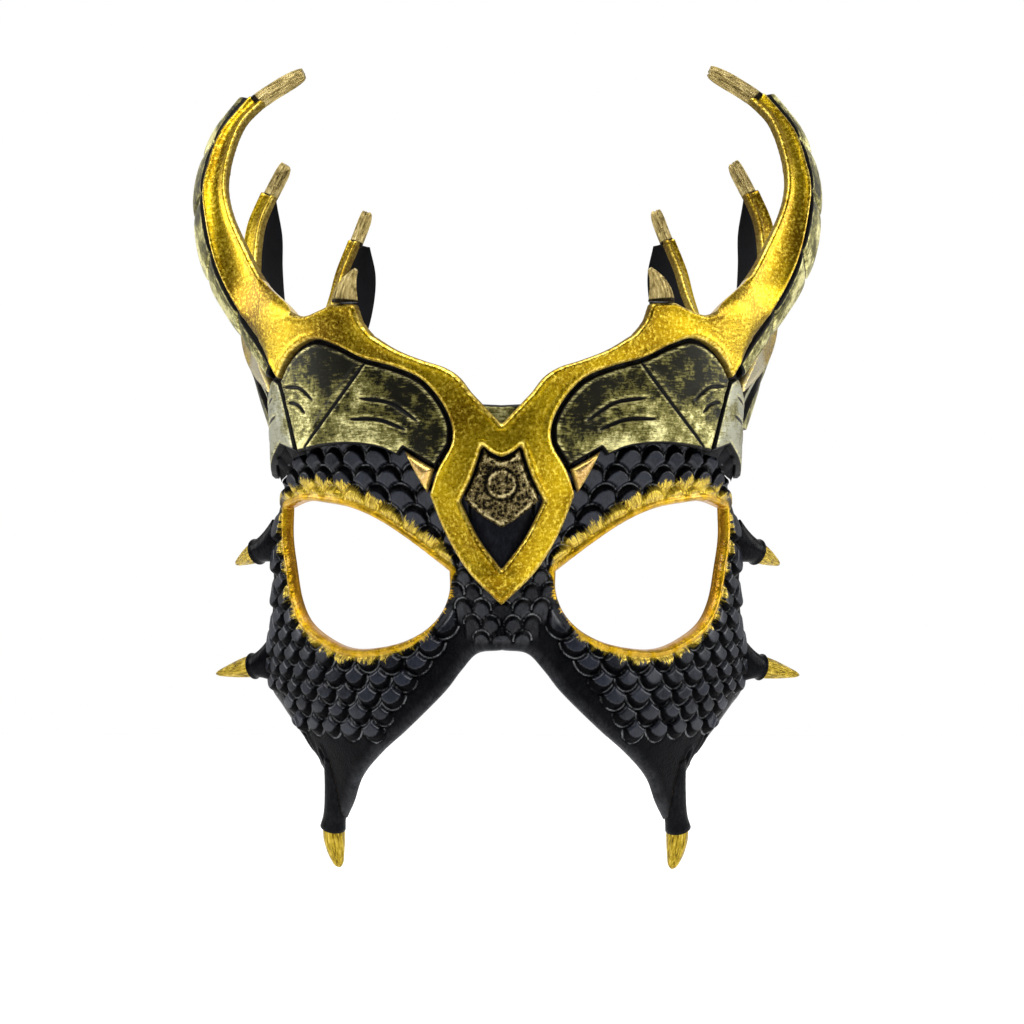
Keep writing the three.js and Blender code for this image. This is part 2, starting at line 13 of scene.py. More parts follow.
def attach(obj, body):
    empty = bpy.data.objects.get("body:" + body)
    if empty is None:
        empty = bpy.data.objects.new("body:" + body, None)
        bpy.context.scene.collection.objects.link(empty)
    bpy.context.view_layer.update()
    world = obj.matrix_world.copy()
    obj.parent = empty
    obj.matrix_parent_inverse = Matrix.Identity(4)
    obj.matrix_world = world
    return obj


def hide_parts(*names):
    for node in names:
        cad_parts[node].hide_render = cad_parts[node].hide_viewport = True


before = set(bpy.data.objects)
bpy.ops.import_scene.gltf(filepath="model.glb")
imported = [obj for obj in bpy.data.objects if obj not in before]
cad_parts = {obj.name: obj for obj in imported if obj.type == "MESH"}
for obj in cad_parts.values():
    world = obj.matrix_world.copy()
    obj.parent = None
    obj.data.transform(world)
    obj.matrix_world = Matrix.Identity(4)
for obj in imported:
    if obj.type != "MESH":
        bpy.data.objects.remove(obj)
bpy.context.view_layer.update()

# Face shell
# A half mask cut from one sheet of black leather and wet moulded over a form, with scales
# tooled into cheeks, brows and nose bridge. The eye rims are painted gold with a brush, and the
# sleeves that hold the spikes and claws are rolled out of its edge.

MM = 0.001
ARC = 1.4
SHELL_THICKNESS = 2.5
TOOLED_SPACING = 0.46
FLESH_SPACING = 4.0
CUT_ROLL = 0.9


def smooth_table(rows):
    """Reads the columns of a table smoothly at any value of its first column."""
    rows = np.array(rows, float)
    at, values = rows[:, 0], rows[:, 1:]
    slope = np.diff(values, axis=0) / np.diff(at)[:, None]
    tangent = np.vstack([slope[:1], (slope[:-1] + slope[1:]) / 2, slope[-1:]])

    def read(where):
        where = np.clip(where, at[0], at[-1])
        i = np.clip(np.searchsorted(at, where) - 1, 0, len(at) - 2)
        span = (at[i + 1] - at[i])[:, None]
        p = (where - at[i])[:, None] / span
        start = values[i] * (1 + 2 * p) * (1 - p) ** 2 + tangent[i] * span * p * (1 - p) ** 2
        end = values[i + 1] * p * p * (3 - 2 * p) + tangent[i + 1] * span * p * p * (p - 1)
        return start + end

    return read


# Columns: rise, half width, depth, front, nose ridge height, nose ridge half width
FACE_FORM = smooth_table([
    (-75, 57, 64, 26, 0, 15),
    (-45, 68, 73, 17, 0, 15),
    (-20, 76, 79, 11, 4, 15),
    (0, 78, 83, 9, 9, 16),
    (25, 77.5, 85, 8, 9, 20),
    (50, 76, 87, 6, 7, 30),
    (75, 76, 90, 4, 5, 36),
    (90, 81, 93, 3, 4, 40),
    (105, 88, 97, 2, 3, 42),
])


def on_form(pattern, lift):
    """Moulds pattern points (way round, rise) over the form, in millimetres."""
    turn = np.radians(pattern[:, 0] / ARC)
    half, depth, front, ridge, reach = FACE_FORM(pattern[:, 1]).T
    x = (half + lift) * np.sin(turn)
    bump = np.where(np.abs(x) < reach, ridge * np.cos(np.pi * x / (2 * reach)) ** 2, 0)
    y = front - lift + (depth + lift) * (1 - np.cos(turn)) - bump
    return np.column_stack([x, y, pattern[:, 1]])


CURVE_STEPS = 40


def smooth_run(knots, spacing=None, count=None):
    """Evenly spaced points along a smooth curve through the knots."""
    knots = np.array(knots, float)
    ends = np.vstack([2 * knots[0] - knots[1], knots, 2 * knots[-1] - knots[-2]])
    share = np.linspace(0, 1, CURVE_STEPS)[:-1, None]
    pieces = []
    for p0, p1, p2, p3 in zip(ends, ends[1:], ends[2:], ends[3:]):
        d0, d1, d2 = (np.linalg.norm(b - a) ** 0.5 for a, b in ((p0, p1), (p1, p2), (p2, p3)))
        leave = d1 * ((p1 - p0) / d0 - (p2 - p0) / (d0 + d1) + (p2 - p1) / d1)
        enter = d1 * ((p2 - p1) / d1 - (p3 - p1) / (d1 + d2) + (p3 - p2) / d2)
        start = p1 * (1 + 2 * share) * (1 - share) ** 2 + leave * share * (1 - share) ** 2
        pieces.append(start + p2 * share ** 2 * (3 - 2 * share) + enter * share ** 2 * (share - 1))
    fine = np.vstack(pieces + [knots[-1:]])
    length = np.concatenate([[0], np.cumsum(np.linalg.norm(np.diff(fine, axis=0), axis=1))])
    steps = count or max(1, round(length[-1] / spacing))
    at = np.linspace(0, length[-1], steps + 1)
    return np.column_stack([np.interp(at, length, column) for column in fine.T])


def laid_out(rows):
    """Pattern points from rows of turn and rise."""
    return np.array(rows) * (ARC, 1)


def ring(runs, spacing=TOOLED_SPACING):
    """A closed outline from runs of (turn, rise) rows that follow one another, anticlockwise."""
    loop = np.vstack([smooth_run(laid_out(rows), spacing)[:-1] for rows in runs])
    x, y = loop.T
    area = np.sum(x * np.roll(y, -1) - np.roll(x, -1) * y)
    return loop if area > 0 else loop[::-1]


def doubled(runs):
    """Runs of the right half, with their mirror images."""
    return runs + [[(-turn, rise) for turn, rise in reversed(rows)] for rows in reversed(runs)]


def flipped(runs):
    """The mirror images of runs, in the same order."""
    return [[(-turn, rise) for turn, rise in rows] for rows in runs]


def inside(spots, loop):
    """Which spots lie inside a closed loop."""
    found = np.zeros(len(spots), bool)
    for (ax, ay), (bx, by) in zip(loop, np.roll(loop, -1, axis=0)):
        level = np.nonzero((ay > spots[:, 1]) != (by > spots[:, 1]))[0]
        left = spots[level, 0] < (bx - ax) * (spots[level, 1] - ay) / (by - ay) + ax
        found[level[left]] ^= True
    return found


def nearest(spots, targets):
    """Distance from each spot to the nearest target, and which one it is, on a pattern or in space."""
    spots, targets = (np.pad(p, ((0, 0), (0, 3 - p.shape[1]))).tolist() for p in (spots, targets))
    tree = KDTree(len(targets))
    for i, target in enumerate(targets):
        tree.insert(target, i)
    tree.balance()
    found = [tree.find(spot) for spot in spots]
    return np.array([hit[2] for hit in found]), np.array([hit[1] for hit in found])


ROW_STEP = 0.87
RIM_CLEARANCE = 0.7


def fill(loops, spacing):
    """Staggered points that fill a pattern between its outline and its holes."""
    low, high = loops[0].min(axis=0), loops[0].max(axis=0)
    rows = np.arange(low[1], high[1], spacing * ROW_STEP)
    u, v = np.meshgrid(np.arange(low[0], high[0], spacing), rows)
    u[1::2] += spacing / 2
    spots = np.column_stack([u.ravel(), v.ravel()])
    spots = spots[inside(spots, loops[0])]
    for hole in loops[1:]:
        spots = spots[~inside(spots, hole)]
    return spots[nearest(spots, np.vstack(loops))[0] > RIM_CLEARANCE * spacing]


SLIVER = 0.001
WELD = 1e-6


def triangulated(loops, spacing):
    """Points and triangles of a flat pattern. The points of the loops come first."""
    rim = np.vstack(loops)
    points = np.vstack([rim, fill(loops, spacing)])
    starts = np.cumsum([0] + [len(loop) for loop in loops])
    edges = [(start + i, start + (i + 1) % len(loop))
             for start, loop in zip(starts, loops) for i in range(len(loop))]
    _, _, faces, sources, _, _ = delaunay_2d_cdt([Vector(p) for p in points], edges, [], 0, WELD)
    faces = np.array([[sources[corner][0] for corner in face] for face in faces])
    doubtful = np.nonzero((faces < len(rim)).all(axis=1))[0]
    corners = points[faces[doubtful]]
    centres = corners.mean(axis=1)
    (ax, ay), (bx, by) = (corners[:, 1] - corners[:, 0]).T, (corners[:, 2] - corners[:, 0]).T
    on_leather = inside(centres, loops[0]) & (np.abs(ax * by - ay * bx) > SLIVER)
    for hole in loops[1:]:
        on_leather &= ~inside(centres, hole)
    return points, np.delete(faces, doubtful[~on_leather], axis=0)


def place_mesh(name, places, faces, finishes=None):
    """A smooth shaded object from places in millimetres, with a material number for each face."""
    mesh = bpy.data.meshes.new(name)
    mesh.from_pydata((places * MM).tolist(), [], [list(map(int, face)) for face in faces])
    if finishes is not None:
        mesh.polygons.foreach_set("material_index", np.array(finishes, np.int32))
    mesh.shade_smooth()
    piece = bpy.data.objects.new(name, mesh)
    bpy.context.scene.collection.objects.link(piece)
    return piece


def paint_map(piece, name, values):
    """Keeps one number for each point of a piece, for its material to read."""
    layer = piece.data.attributes.new(name, "FLOAT", "POINT")
    layer.data.foreach_set("value", np.array(values, np.float32))


def paint_way(piece, name, vectors):
    """Keeps the place of each point on the uncut hide, in millimetres, for brushed strokes to follow."""
    layer = piece.data.attributes.new(name, "FLOAT_VECTOR", "POINT")
    layer.data.foreach_set("vector", np.array(vectors, np.float32).ravel())


def paint_top(piece, name, values, unseen):
    """Keeps a number for each point of the grain side, which come first, and another for the rest."""
    rest = len(piece.data.vertices) - values.size
    paint_map(piece, name, np.concatenate([values.ravel(), np.full(rest, unseen)]))


FAR = 50.0


def paint_maps(piece, edge, line, wear_and_sheen):
    """Keeps what the paints read: distances to the cut edge and to tooled lines, and a map of rubbing and
    painted sheen.
    """
    paint_top(piece, "edge", edge, 0)
    paint_top(piece, "line", line, FAR)
    paint_top(piece, "wear_and_sheen", wear_and_sheen, 0)


def rolled_down(edge):
    """How far the grain side drops towards a rolled cut edge."""
    curl = np.clip(1 - edge / CUT_ROLL, 0, 1)
    return CUT_ROLL * (1 - np.sqrt(1 - curl ** 2))


TOOL_STEP = 0.25
LINE_TAPER = 0.35
HALF_WEAR_AND_SHEEN = 0.5


def panel(name, runs, holes, place, inner, outer, relief=None, tools=(), spacing=TOOLED_SPACING, wear_and_sheen=None):
    """A leather panel with a rolled cut edge, tooled along lines and raised by a relief."""
    loops = [ring(runs)] + [ring(hole)[::-1] for hole in holes]
    rim = np.vstack(loops)
    top, top_faces = triangulated(loops, spacing)
    under, under_faces = triangulated(loops, FLESH_SPACING)
    edge = nearest(top, rim)[0]
    line = np.full(len(top), FAR)
    if len(tools):
        cuts = [smooth_run(laid_out(rows), TOOL_STEP) for rows in tools]
        line, hit = nearest(top, np.vstack(cuts))
        ends = np.concatenate([np.abs(np.linspace(-1, 1, len(cut))) for cut in cuts])
        line = line + LINE_TAPER * ends[hit] ** 6
    lift = outer - rolled_down(edge)
    if relief:
        lift = lift + relief(top, edge, line)
    places = np.vstack([place(top, lift), place(under, np.full(len(under), inner))])
    base = len(top)
    walls = []
    start = 0
    for loop in loops:
        for i in range(len(loop)):
            a, b = start + i, start + (i + 1) % len(loop)
            walls.append((b, a, a + base, b + base))
        start += len(loop)
    faces = list(top_faces) + walls + list(under_faces[:, ::-1] + base)
    finishes = [0] * (len(top_faces) + len(walls)) + [1] * len(under_faces)
    piece = place_mesh(name, places, faces, finishes)
    paint_maps(piece, edge, line, wear_and_sheen(top) if wear_and_sheen else np.full(len(top), HALF_WEAR_AND_SHEEN))
    paint_way(piece, "lay", np.column_stack([np.vstack([top, under]), np.zeros(len(places))]))
    return piece


def unit(vector):
    """A vector of length one."""
    return np.array(vector, float) / np.linalg.norm(vector)


# A sleeve's mouth narrows by these shares, and a torn end frays over this last share of the length
MOUTH_SHARES = (0.9, 0.86)
FRAY_FROM = 0.7
FRAY_SPAN = 0.3


def taper(name, base, way, tip, profile, flat=(0, 1, 0), sides=36, rows=44, ripple=None, fray=None,
          mouth=0.0, buried=0.0):
    """A tapering oval body along a bent line. Profile columns: share of the length, width, thickness.

    Fray holds how far the end is torn back at each side. A mouth sinks the end in and a buried base sits in
    another piece, by so many millimetres."""
    base, tip, way, flat = (np.array(v, float) for v in (base, tip, unit(way), flat))
    length = np.linalg.norm(tip - base)
    knee = base + way * length / 2
    share = np.linspace(0, 1, rows)
    rings = [(s, w, t, 0.0) for s, (w, t) in zip(share, smooth_table(profile)(share))]
    if mouth:
        _, width, thick, _ = rings[-1]
        rings += [(1.0, width * part, thick * part, sunk)
                  for part, sunk in zip(MOUTH_SHARES, (0.0, mouth))]
    angle = np.linspace(0, 2 * np.pi, sides, endpoint=False)
    places, lay = [], []
    for s, w, t, sunk in rings:
        centre = base * (1 - s) ** 2 + knee * 2 * s * (1 - s) + tip * s * s
        along = unit((knee - base) * (1 - s) + (tip - knee) * s)
        thick_way = unit(flat - along * (flat @ along))
        wide_way = np.cross(along, thick_way)
        swell = 1 + (ripple(angle, s) if ripple else 0)
        torn = np.full(sides, sunk)
        if fray is not None:
            torn = torn + fray * np.clip((s - FRAY_FROM) / FRAY_SPAN, 0, 1)
        oval = np.outer(w / 2 * np.cos(angle) * swell, wide_way)
        oval = oval + np.outer(t / 2 * np.sin(angle) * swell, thick_way)
        places.append(centre + oval - np.outer(torn, along))
        across = (np.cos(angle) * w / 2, np.sin(angle) * t / 2)
        lay.append(np.column_stack([np.full(sides, s * length), *across]))
    hoops = np.arange(len(rings) * sides).reshape(len(rings), sides)
    faces = [(low[k], low[(k + 1) % sides], high[(k + 1) % sides], high[k])
             for low, high in zip(hoops, hoops[1:]) for k in range(sides)]
    faces += [hoops[0][::-1], hoops[-1]]
    piece = place_mesh(name, np.vstack(places), faces)
    paint_map(piece, "edge", np.repeat([max(0, s * length - buried) for s, _, _, _ in rings], sides))
    paint_way(piece, "lay", np.vstack(lay))
    face_out(piece)
    return piece


def face_out(piece):
    """Turns all faces of a closed piece outward."""
    work = bmesh.new()
    work.from_mesh(piece.data)
    bmesh.ops.recalc_face_normals(work, faces=work.faces)
    work.to_mesh(piece.data)
    work.free()


def settled(piece):
    """Replaces a piece's mesh by what its modifiers make of it."""
    graph = bpy.context.evaluated_depsgraph_get()
    mesh = bpy.data.meshes.new_from_object(piece.evaluated_get(graph))
    piece.modifiers.clear()
    piece.data = mesh
    mesh.shade_smooth()


def united(piece, others):
    """Joins other closed pieces to a piece as one body."""
    for other in others:
        join = piece.modifiers.new("join", "BOOLEAN")
        join.operation = "UNION"
        join.solver = "MANIFOLD"
        join.object = other
    settled(piece)
    for other in others:
        bpy.data.objects.remove(other)


def painted(piece, *finishes):
    """Gives a piece its finishes, if it has none yet."""
    if len(piece.data.materials) == 0:
        for finish in finishes:
            piece.data.materials.append(finish)


def seat(piece, node, slot, *finishes):
    """Gives a piece its finishes and sets it in the place of a solid."""
    painted(piece, *finishes)
    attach(piece, "root")
    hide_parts(node)


# Rows: turn, rise
EYE_OPENING = [
    [(56, 38.5), (48, 40.5), (40, 39.8), (33, 38.3), (26, 34.8), (18.5, 28.8), (10.6, 21)],
    [(10.6, 21), (10.6, 15.5), (12, 10), (15, 5.2), (20, 1.3), (27, -1.1), (33.5, -1.6), (40, 0.8),
     (46.5, 5.3), (50.2, 11.3), (53, 20.5), (55.5, 30), (56, 38.5)],
]
SHELL_EDGE = [
    [(0, 58.5), (12, 62), (28, 65), (40, 62.5), (50, 59)],
    [(50, 59), (55.6, 54.5), (59.2, 46.5), (61.5, 40), (64.5, 34), (66.5, 28), (65.5, 21.5), (64, 14),
     (65, 6), (69, -2), (71.5, -10), (70, -18), (62.5, -22.5), (54.5, -30), (49.5, -37)],
    [(49.5, -37), (49, -41), (51, -48), (53, -54)],
    [(53, -54), (46.5, -54)],
    [(46.5, -54), (41.3, -48), (36.2, -40), (28, -31), (22, -25), (16, -18), (11.4, -11.8), (8.4, -6.5),
     (4.8, -1.2), (0, 0)],
]
shell_loop = ring(doubled(SHELL_EDGE))
eye_loop = ring(EYE_OPENING)
eye_start = nearest(laid_out(EYE_OPENING[0][:1]), eye_loop)[1][0] / len(eye_loop)

# Fields of scales: pitch across, pitch of the rows, radius, width of the bevel at the sides, extra width
# at the point, way that the points face, tooled depth, how much of a row shows behind the last scales,
# and shade
CHEEK_SCALES = {"pitch": 8.0, "row": 5.1, "radius": 4.35, "bevel": 1.0, "point": 1.3,
                "way": -1, "depth": 2.2, "root": 1.2, "shade": 1.0}
BROW_SCALES = {"pitch": 8.2, "row": 5.6, "radius": 4.5, "bevel": 1.0, "point": 1.2,
               "way": 1, "depth": 2.0, "root": 0.6, "shade": 1.0}
NOSE_SCALES = {"pitch": 5.0, "row": 4.2, "radius": 2.7, "bevel": 0.7, "point": 0.7,
               "way": 1, "depth": 1.1, "root": 0.5, "shade": 0.55}
FIELD_RISES = (-60, 75)
FIELD_WIDTH = (-12, 110)
ROW_OVERLAP = 1.2
POINTED = 1.85
# The thin painted highlight along the edge of a scale: how far inside the rim it runs, and how far outside
# it is looked for
BRIGHT_LINE = {"inset": 0.12, "reach": 0.6}
# How much scales differ, as stamped by hand
HAND = {"tilt": (0.85, 1.15), "shade": (0.5, 1), "lean": (-0.15, 0.15), "size": (0.93, 1.04)}
# A scale's height at its root as a share of the height at its point, the length over which the root fades
# into the scale before it, and how far its face arches
SCALE_ROOT = 0.3
ROOT_FADE = 2.0
FACE_ARCH = 0.15
# A scale is covered at its root by neighbours one row back, at most so far aside in pitches
NEIGHBOURS = {"rows": 0.1, "aside": 0.75}
# Where the face's tone starts on the painted black bevel, and its share that does not and does fall to the
# root as painted shade
BEVEL_SHADE = (-0.25, 0.15)
FACE_SHADE = (0.55, 0.45)
SCALE_MARGIN = 1.2
# The ditch pressed round a scale's point: width, share of the ground that it flattens, depth, where it
# ends behind the middle of the scale, and how far in it is painted black as shade
DITCH = {"width": 0.8, "flattens": 0.8, "depth": 0.2, "end": -0.3, "black": 0.65}
JAW_CREASES = [
    [(52.5, -25), (51.2, -31), (49.3, -36.5)],
    [(46.5, -33), (45.8, -40), (47.2, -47)],
]
BROW_FROM_RISE = 33
BROW_END = 84
# The brow scales start beside the V of the crown and above a line over the eye
VEE_EDGE = {"half": 4, "slope": 0.32, "rise": 14}
EYE_LINE = {"below": 12, "slope": 0.12, "rise": 36, "drop": 0.9, "corner": 40}
NOSE_HALF = 9.6
NOSE_TAPER = {"slope": 0.25, "rise": 6}
NOSE_RISES = (1.2, 16)
NOSE_SIDE = {"across": (7.5, 14), "rises": (11, 21)}
CHEEK_FROM = 14.2
PLAIN_BAND = (1.3, 2.3)
SMOOTH_BAND = 5.4
JAW_RISE = -26


def scale_centres(field):
    """Staggered centres of scales over the right half, ordered so that later ones lie on top."""
    rows = np.arange(*FIELD_RISES, field["row"])
    rows = rows if field["way"] < 0 else rows[::-1]
    across = np.arange(*FIELD_WIDTH, field["pitch"])
    u = np.array([across + field["pitch"] / 2 * (number % 2) for number in range(len(rows))])
    return np.column_stack([u.ravel(), np.repeat(rows, len(across))])


def between(value, limits):
    """Whether values lie between two limits."""
    return (value > limits[0]) & (value < limits[1])


def eased(value, start, end):
    """Goes smoothly from 0 to 1 as a value goes from start to end."""
    share = np.clip((value - start) / (end - start), 0, 1)
    return share * share * (3 - 2 * share)


def tongue(p, q):
    """How far a spot lies from the middle of a scale, which has straight sides and a round point."""
    return np.where(q > 0, (np.abs(p) ** POINTED + np.abs(q) ** POINTED) ** (1 / POINTED), np.abs(p))


def tooled_scales(spots, field, keep, height, hue, brink):
    """Stamps overlapping scales into a pattern: flat faces, painted shade on the bevels, ditches and roots,
    and thin painted highlights on the edges.
    """
    way, depth = field["way"], field["depth"]
    dice = np.random.default_rng(7)
    centres = scale_centres(field)
    centres = centres[keep(centres)]
    for u, rise in centres:
        back = way * (rise - centres[:, 1]) / field["row"]
        beside = np.abs(centres[:, 0] - u) < NEIGHBOURS["aside"] * field["pitch"]
        covered = np.any((np.abs(back - 1) < NEIGHBOURS["rows"]) & beside)
        tail = field["row"] * (ROW_OVERLAP if covered else field["root"])
        tilt, shade, lean, size = (dice.uniform(*HAND[key]) for key in ("tilt", "shade", "lean", "size"))
        shade = field["shade"] * shade
        reach = field["radius"] * size
        q = way * (spots[:, 1] - rise)
        p = spots[:, 0] - u + lean * q
        limit = reach + SCALE_MARGIN
        near = np.nonzero((np.abs(p) < limit) & (q > -tail) & (q < limit))[0]
        p, q = p[near], q[near]
        rim = reach - tongue(p, q)
        face = reach - field["bevel"] - tongue(p, q + field["point"])
        on = rim > 0
        climb = eased(rim / np.maximum(rim - np.minimum(face, 0), 0.01), 0, 1)
        slope = SCALE_ROOT + (1 - SCALE_ROOT) * np.clip((q + tail) / (reach + tail), 0, 1)
        fade = np.clip((q + tail) / ROOT_FADE, 0, 1)
        top = depth * tilt * slope * climb * (1 - FACE_ARCH * (p / reach) ** 2)
        ditch = np.clip(1 + rim / DITCH["width"], 0, 1) * (q > DITCH["end"] * reach)
        here = height[near]
        pressed = here * (1 - DITCH["flattens"] * ditch) - DITCH["depth"] * ditch
        height[near] = np.where(on, here + (top - here) * fade, pressed)
        # Painted shade: black on the bevel, and darker towards the root under the scale before it
        tone = shade * eased(face, *BEVEL_SHADE) * (FACE_SHADE[0] + FACE_SHADE[1] * slope)
        plain = hue[near]
        # Painted shade: black in the deeper part of the ditch round the point
        ground = np.where(ditch > DITCH["black"], 0.0, plain)
        hue[near] = np.where(on, plain + (tone - plain) * fade, ground)
        # A thin painted highlight just inside the rim
        bright = np.abs(rim - BRIGHT_LINE["inset"]) + 2 * (q < DITCH["end"] * reach)
        brink[near] = np.where(rim > -BRIGHT_LINE["reach"], bright, brink[near])


def on_cheek(spots):
    """Which spots carry cheek scales: clear of the edges, below the brow and beside the nose."""
    u, rise = spots.T
    free = inside(spots, shell_loop) & ~inside(spots, eye_loop)
    clear = nearest(spots, shell_loop)[0] > SMOOTH_BAND
    return free & clear & between(rise, (JAW_RISE, BROW_FROM_RISE)) & (u >= CHEEK_FROM)


def on_brow(spots):
    """Which spots carry brow scales: above the eye and beside the V of the crown."""
    u, rise = spots.T
    under_vee = u < VEE_EDGE["half"] + VEE_EDGE["slope"] * (rise - VEE_EDGE["rise"])
    low = BROW_FROM_RISE - EYE_LINE["below"] + EYE_LINE["slope"] * u
    lid = EYE_LINE["rise"] - EYE_LINE["drop"] * np.maximum(0, EYE_LINE["corner"] - u)
    free = inside(spots, shell_loop) & ~inside(spots, eye_loop)
    return free & (rise > low) & (rise > lid) & ~under_vee & (u < BROW_END)


def on_nose(spots):
    """Which spots carry nose scales: the bridge below the V and its sides."""
    u, rise = spots.T
    half = NOSE_HALF - NOSE_TAPER["slope"] * np.maximum(0, rise - NOSE_TAPER["rise"])
    front = (u < half) & between(rise, NOSE_RISES)
    return front | between(u, NOSE_SIDE["across"]) & between(rise, NOSE_SIDE["rises"])


# How far the gold paint reaches from the eye's edge, in millimetres. Columns: share of the way round, reach
GILT_REACH = [(0, 3.4), (0.1, 6.6), (0.2, 6.2), (0.28, 5.0), (0.33, 4.8), (0.385, 4.6), (0.41, 1.6),
              (0.46, 0.3), (0.52, 1.6), (0.58, 3.0), (0.66, 3.4), (0.74, 3.2), (0.82, 2.6), (0.93, 2.6),
              (1, 3.4)]
# The rolled lip of the eye's edge, and where the scales rise behind it
LIP = {"half": 1.15, "height": 0.9, "clear": (1.9, 3.2)}
# Shades of the leather where it has no scales: in the open, a painted sheen along the outer edge, and under
# the V
PLAIN_SHADE = {"open": 0.12, "edge": 0.26, "sheen_reach": 3.2, "vee": 0.46}
VEE_SHADE = {"rises": (16, 20), "across": (11, 9)}
# The outer edge is pared down over this width
PARED = {"depth": 1.0, "width": 5}
# A crease: height, place and spread of the swelling beside it, then depth and half width
CREASE = {"swell": 0.3, "beside": 1.4, "spread": 0.9, "depth": 0.6, "half": 0.7}
shell_maps = {}


def shell_relief(spots, edge, line):
    """Scales, eye lips, pared edge and jaw creases of the shell, and the maps of its paints."""
    height = np.zeros(len(spots))
    mirror = np.column_stack([np.abs(spots[:, 0]), spots[:, 1]])
    outer = nearest(mirror, shell_loop)[0]
    # Painted sheen: the plain leather is lighter near the outer edge
    edge_sheen = np.clip(1 - outer / PLAIN_SHADE["sheen_reach"], 0, 1)
    under_vee = eased(mirror[:, 1], *VEE_SHADE["rises"]) * eased(mirror[:, 0], *VEE_SHADE["across"])
    plain = np.maximum(PLAIN_SHADE["open"] + PLAIN_SHADE["edge"] * edge_sheen, PLAIN_SHADE["vee"] * under_vee)
    hue = plain.copy()
    brink = np.full(len(spots), FAR)
    for field, keep in ((CHEEK_SCALES, on_cheek), (BROW_SCALES, on_brow), (NOSE_SCALES, on_nose)):
        tooled_scales(mirror, field, keep, height, hue, brink)
    band = eased(outer, *PLAIN_BAND)
    height *= band
    hue = plain + (hue - plain) * band
    brink = np.where(band < 0.5, FAR, brink)
    rim, along = nearest(mirror, eye_loop)
    around = (along / len(eye_loop) - eye_start) % 1
    gilt = smooth_table(GILT_REACH)(around)[:, 0] - rim
    rolled = np.sqrt(np.clip(1 - (rim / LIP["half"] - 1) ** 2, 0, 1))
    height = height * eased(edge, *LIP["clear"]) + LIP["height"] * rolled
    height -= PARED["depth"] * np.clip(1 - outer / PARED["width"], 0, 1) ** 2
    swell = CREASE["swell"] * np.exp(-((line - CREASE["beside"]) / CREASE["spread"]) ** 2)
    height += swell - CREASE["depth"] * np.exp(-(line / CREASE["half"]) ** 2)
    shell_maps.update(gilt=gilt, along=along * TOOLED_SPACING, hue=hue, brink=brink, lip=rim)
    return height


shell = panel("face_shell_leather", doubled(SHELL_EDGE), [EYE_OPENING, flipped(EYE_OPENING)], on_form, 0,
              SHELL_THICKNESS, shell_relief, JAW_CREASES + flipped(JAW_CREASES))
rim_points = len(shell_loop) + 2 * len(eye_loop)
flesh_gilt = np.full(len(shell.data.vertices) - len(shell_maps["gilt"]), -FAR)
flesh_gilt[:rim_points] = shell_maps["gilt"][:rim_points]
for key, unseen in {"gilt": flesh_gilt, "along": 0, "hue": 0, "brink": FAR, "lip": 0}.items():
    paint_top(shell, key, shell_maps[key], unseen)

# Sleeve profiles. Columns: share of the length, width, thickness
CHEEK_SLEEVE = [(0, 15, 4), (0.35, 11, 6), (0.7, 8.2, 7), (0.92, 7.6, 7), (1, 8.4, 7.6)]
JAW_SLEEVE = [(0, 12, 4.5), (0.45, 8.6, 6), (0.85, 7, 6), (1, 7.8, 6.6)]
# Where each sleeve starts and ends and where its gilded tip ends. Columns: x, y, z
SLEEVES = {
    "cheek_spike_lower": {"root": (71.5, 57, -9), "cuff": (79, 61.6, -10.9), "tip": (92, 67.5, -14)},
    "cheek_spike_upper": {"root": (69, 53, 28), "cuff": (77.6, 60.4, 24.9), "tip": (86, 69, 20.8)},
    "jaw_claw": {"root": (47.5, 35.5, -36), "cuff": (51.8, 44.5, -57.5), "tip": (50, 46.5, -70)},
}
SLEEVE_MOUTH = 1.4
SLEEVE_SHADE = 0.17


def sleeve(points, profile, side):
    """A rolled sleeve with an open cuff."""
    root, cuff = (np.array(points[key]) * (side, 1, 1) for key in ("root", "cuff"))
    made = taper("sleeve", root, cuff - root, cuff, profile, rows=24, mouth=SLEEVE_MOUTH)
    plain = {"line": FAR, "gilt": -FAR, "along": 0, "hue": SLEEVE_SHADE, "brink": FAR, "lip": FAR}
    for key, value in plain.items():
        paint_map(made, key, np.full(len(made.data.vertices), value))
    return made


def feed(tree, socket, value):
    """Gives a socket a constant, or the value of another node's socket."""
    if isinstance(value, bpy.types.NodeSocket):
        tree.links.new(value, socket)
    else:
        socket.default_value = value


def node(tree, kind, inputs=None, **settings):
    """A shader node. An input is a constant or another node's socket."""
    made = tree.nodes.new(kind)
    for key, value in settings.items():
        setattr(made, key, value)
    for key, value in (inputs or {}).items():
        feed(tree, made.inputs[key], value)
    return made


def math_node(tree, operation, *terms):
    """What an operation makes of its terms."""
    return node(tree, "ShaderNodeMath", dict(enumerate(terms)), operation=operation).outputs[0]


def times(tree, a, b):
    return math_node(tree, "MULTIPLY", a, b)


def plus(tree, a, b):
    return math_node(tree, "ADD", a, b)


def own_place(tree):
    """The place on a piece, in its own metres."""
    return node(tree, "ShaderNodeTexCoord").outputs["Object"]


def mixed(tree, share, a, b):
    """Colour a, turning to colour b as the share goes from 0 to 1."""
    return node(tree, "ShaderNodeMix", {0: share, 6: a, 7: b}, data_type="RGBA").outputs[2]


def ramp(tree, value, start, end, low=0.0, high=1.0):
    """Goes smoothly from low to high as the value goes from start to end."""
    made = node(tree, "ShaderNodeMapRange", {0: value, 1: start, 2: end, 3: low, 4: high},
                interpolation_type="SMOOTHSTEP")
    return made.outputs[0]


def noise(tree, where, scale, detail=5.0, rough=0.6):
    """Cloudy variation from 0 to 1."""
    return node(tree, "ShaderNodeTexNoise", {"Vector": where, "Scale": scale, "Detail": detail,
                                             "Roughness": rough}).outputs["Fac"]


